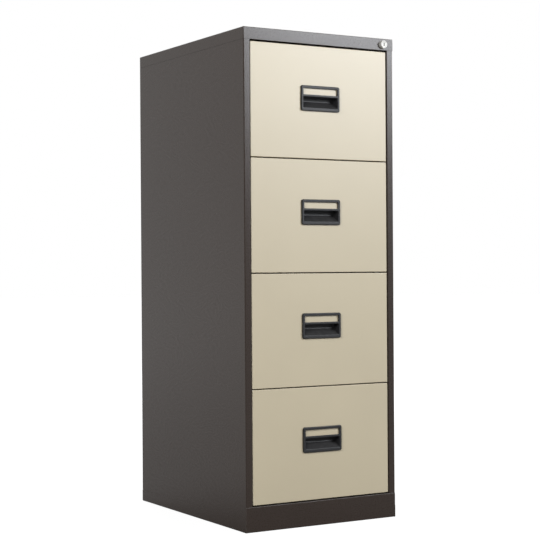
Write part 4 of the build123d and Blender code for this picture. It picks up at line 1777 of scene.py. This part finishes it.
@dataclass(frozen=True)
class SoftBox:
    """A rectangular lamp."""

    name: str
    place: Triple
    target: Triple
    size: Point
    power: float
    tint: Colour = (1.0, 1.0, 1.0)
    in_reflections: bool = False

    def build(self) -> None:
        """Hangs the lamp and points it at its target."""
        light = bpy.data.lights.new(self.name, "AREA")
        light.shape = "RECTANGLE"
        light.size, light.size_y = self.size
        light.energy = self.power
        light.color = self.tint
        lamp = bpy.data.objects.new(self.name, light)
        lamp.location = self.place
        lamp.rotation_euler = (Vector(self.target) - Vector(self.place)).to_track_quat("-Z", "Y").to_euler()
        lamp.visible_glossy = self.in_reflections
        bpy.context.scene.collection.objects.link(lamp)


@dataclass
class Studio:
    """Pale floor, soft light and the camera of the photograph."""

    floor_radius: float = 30.0
    floor_tone: float = 0.22
    floor_glow: float = 0.88
    floor_roughness: float = 0.9
    cover: float = 3.0 * MM
    room_front: float = 0.16
    room_back: float = 0.66
    room_above: float = 0.3
    away: Triple = (0.5, 0.866, 0.0)
    front_to_back: Point = (-0.2, 0.5)
    level_to_above: Point = (0.3, 0.9)
    backdrop: Point = (0.35, 0.8)
    floor_grain: Point = (0.985, 1.0)
    beside: Point = (-0.4, 0.6)
    beside_share: float = 0.35
    behind: Point = (2.0, 8.0)
    behind_share: float = 0.38
    fade: Point = (1.0, 3.5)
    lamps: tuple[SoftBox, ...] = (
        SoftBox(
            "front_softbox",
            (3.25, -4.31, 2.8),
            (0.0, -0.3, 1.0),
            (2.4, 2.0),
            240.0,
            tint=(0.96, 0.99, 1.04),
            in_reflections=True,
        ),
        SoftBox("left_softbox", (-3.55, -2.45, 2.4), (-0.1, 0.0, 0.7), (1.6, 1.6), 138.0),
        SoftBox("rear_softbox", (1.6, 4.6, 2.6), (0.1, 0.3, 0.7), (1.8, 1.8), 150.0),
    )
    sensor: float = 36.0
    lens: float = 95.1915
    camera_reach: float = 100.0
    camera_place: Triple = (-2.025991, -3.496773, 0.680017)
    camera_turn: Triple = (math.pi / 2 - 0.00143, 0.006453, -0.530122)

    def build(self) -> None:
        """Builds the stage, the lamps, the world and the camera."""
        self.build_floor()
        self.build_world()
        for lamp in self.lamps:
            lamp.build()
        self.build_camera()
        bpy.context.scene.view_settings.view_transform = "Standard"

    def build_floor(self) -> None:
        """A wide floor that is white to the camera and keeps the cabinet's shadow."""
        bm = bmesh.new()
        bmesh.ops.create_circle(bm, cap_ends=True, radius=self.floor_radius, segments=64)
        floor = to_object("floor", bm)
        bench = MaterialBench("studio_floor", GroupShelf())
        nodes = bench.nodes
        grain = nodes.swing(nodes.noise(scale=40.0, detail=4.0), *self.floor_grain)
        place = nodes.place()
        parts = nodes.parts(place)
        beside = nodes.remap(parts["Y"], self.beside, (0.0, self.beside_share))
        behind = nodes.remap(parts["Y"], self.behind, (0.0, self.behind_share))
        backdrop = nodes.plus(beside, behind)
        away = nodes.vector_maths("LENGTH", place)
        glow = nodes.remap(away, self.fade, (self.floor_glow, 1.0))
        lit = nodes.times(glow, self.outside_cabinet(nodes, parts))
        material = bench.finish(
            Base_Color=nodes.grey(nodes.times(grain, self.floor_tone)),
            Roughness=self.floor_roughness,
            Specular_IOR_Level=0.0,
            Emission_Color=(1.0, 1.0, 1.0),
            Emission_Strength=nodes.times(self.seen_rays(nodes, backdrop), lit),
        )
        floor.data.materials.append(material)

    def outside_cabinet(self, nodes: NodeTree, parts: Sockets) -> Socket:
        """Where the floor isn't covered by the cabinet, whose base is open to it.

        Args:
            nodes: The floor's tree.
            parts: The X, Y and Z of the place on the floor.

        Returns:
            Zero under the cabinet and one beside it.
        """
        beyond = []
        for axis, half in zip("XY", CAD_BOX[1]):
            reach = nodes.maths("ABSOLUTE", parts[axis])
            beyond.append(nodes.maths("GREATER_THAN", reach, half - self.cover))
        return nodes.maths("MAXIMUM", *beyond)

    def seen_rays(self, nodes: NodeTree, backdrop: Socket) -> Socket:
        """How much of the white background a ray sees.

        Args:
            nodes: The tree of the floor or the world.
            backdrop: One where the background stands behind the cabinet, and zero in front of it.

        Returns:
            One for camera rays, and the backdrop's share for glossy and transmission rays.
        """
        rays = nodes.add("ShaderNodeLightPath").outputs
        mirrored = nodes.maths("MAXIMUM", rays["Is Glossy Ray"], rays["Is Transmission Ray"])
        return nodes.maths("MAXIMUM", rays["Is Camera Ray"], nodes.times(mirrored, backdrop))

    def build_world(self) -> None:
        """Even light from all round: white to the camera and behind the cabinet, dimmer in front of it."""
        world = bpy.data.worlds.new("studio")
        bpy.context.scene.world = world
        world.use_nodes = True
        nodes = NodeTree(world.node_tree)
        direction = nodes.add("ShaderNodeTexCoord").outputs["Generated"]
        parts = nodes.parts(direction)
        level = nodes.remap(parts["Y"], self.front_to_back, (self.room_front, self.room_back))
        above = nodes.remap(parts["Z"], self.level_to_above, (0.0, self.room_above))
        ahead = nodes.vector_maths("DOT_PRODUCT", direction, self.away)
        seen = self.seen_rays(nodes, nodes.remap(ahead, self.backdrop))
        strength = nodes.maths("MAXIMUM", nodes.maths("MAXIMUM", level, above), seen)
        nodes.set(nodes.tree.nodes["Background"], Color=(1.0, 1.0, 1.0), Strength=strength)

    def build_camera(self) -> None:
        """The photograph's camera, from the fit of the cabinet's corners."""
        data = bpy.data.cameras.new("camera")
        data.sensor_width = self.sensor
        data.lens = self.lens
        data.clip_end = self.camera_reach
        camera = bpy.data.objects.new("camera", data)
        camera.location = self.camera_place
        camera.rotation_euler = Euler(self.camera_turn, "XYZ")
        bpy.context.scene.collection.objects.link(camera)
        bpy.context.scene.camera = camera


def main() -> None:
    """Builds the studio and the cabinet's pieces in order."""
    logging.basicConfig(level=logging.INFO, format="%(name)s: %(message)s")
    paintshop = Paintshop()
    paintshop.dress_frame()
    Studio().build()
    Carcass(paintshop).build()
    PushLock(paintshop).build()
    for number in range(1, DRAWERS + 1):
        for part in (DrawerFront, Handle, Tray, RunnerMembers, RunnerBalls):
            part(paintshop, number).build()


if __name__ == "__main__":
    main()
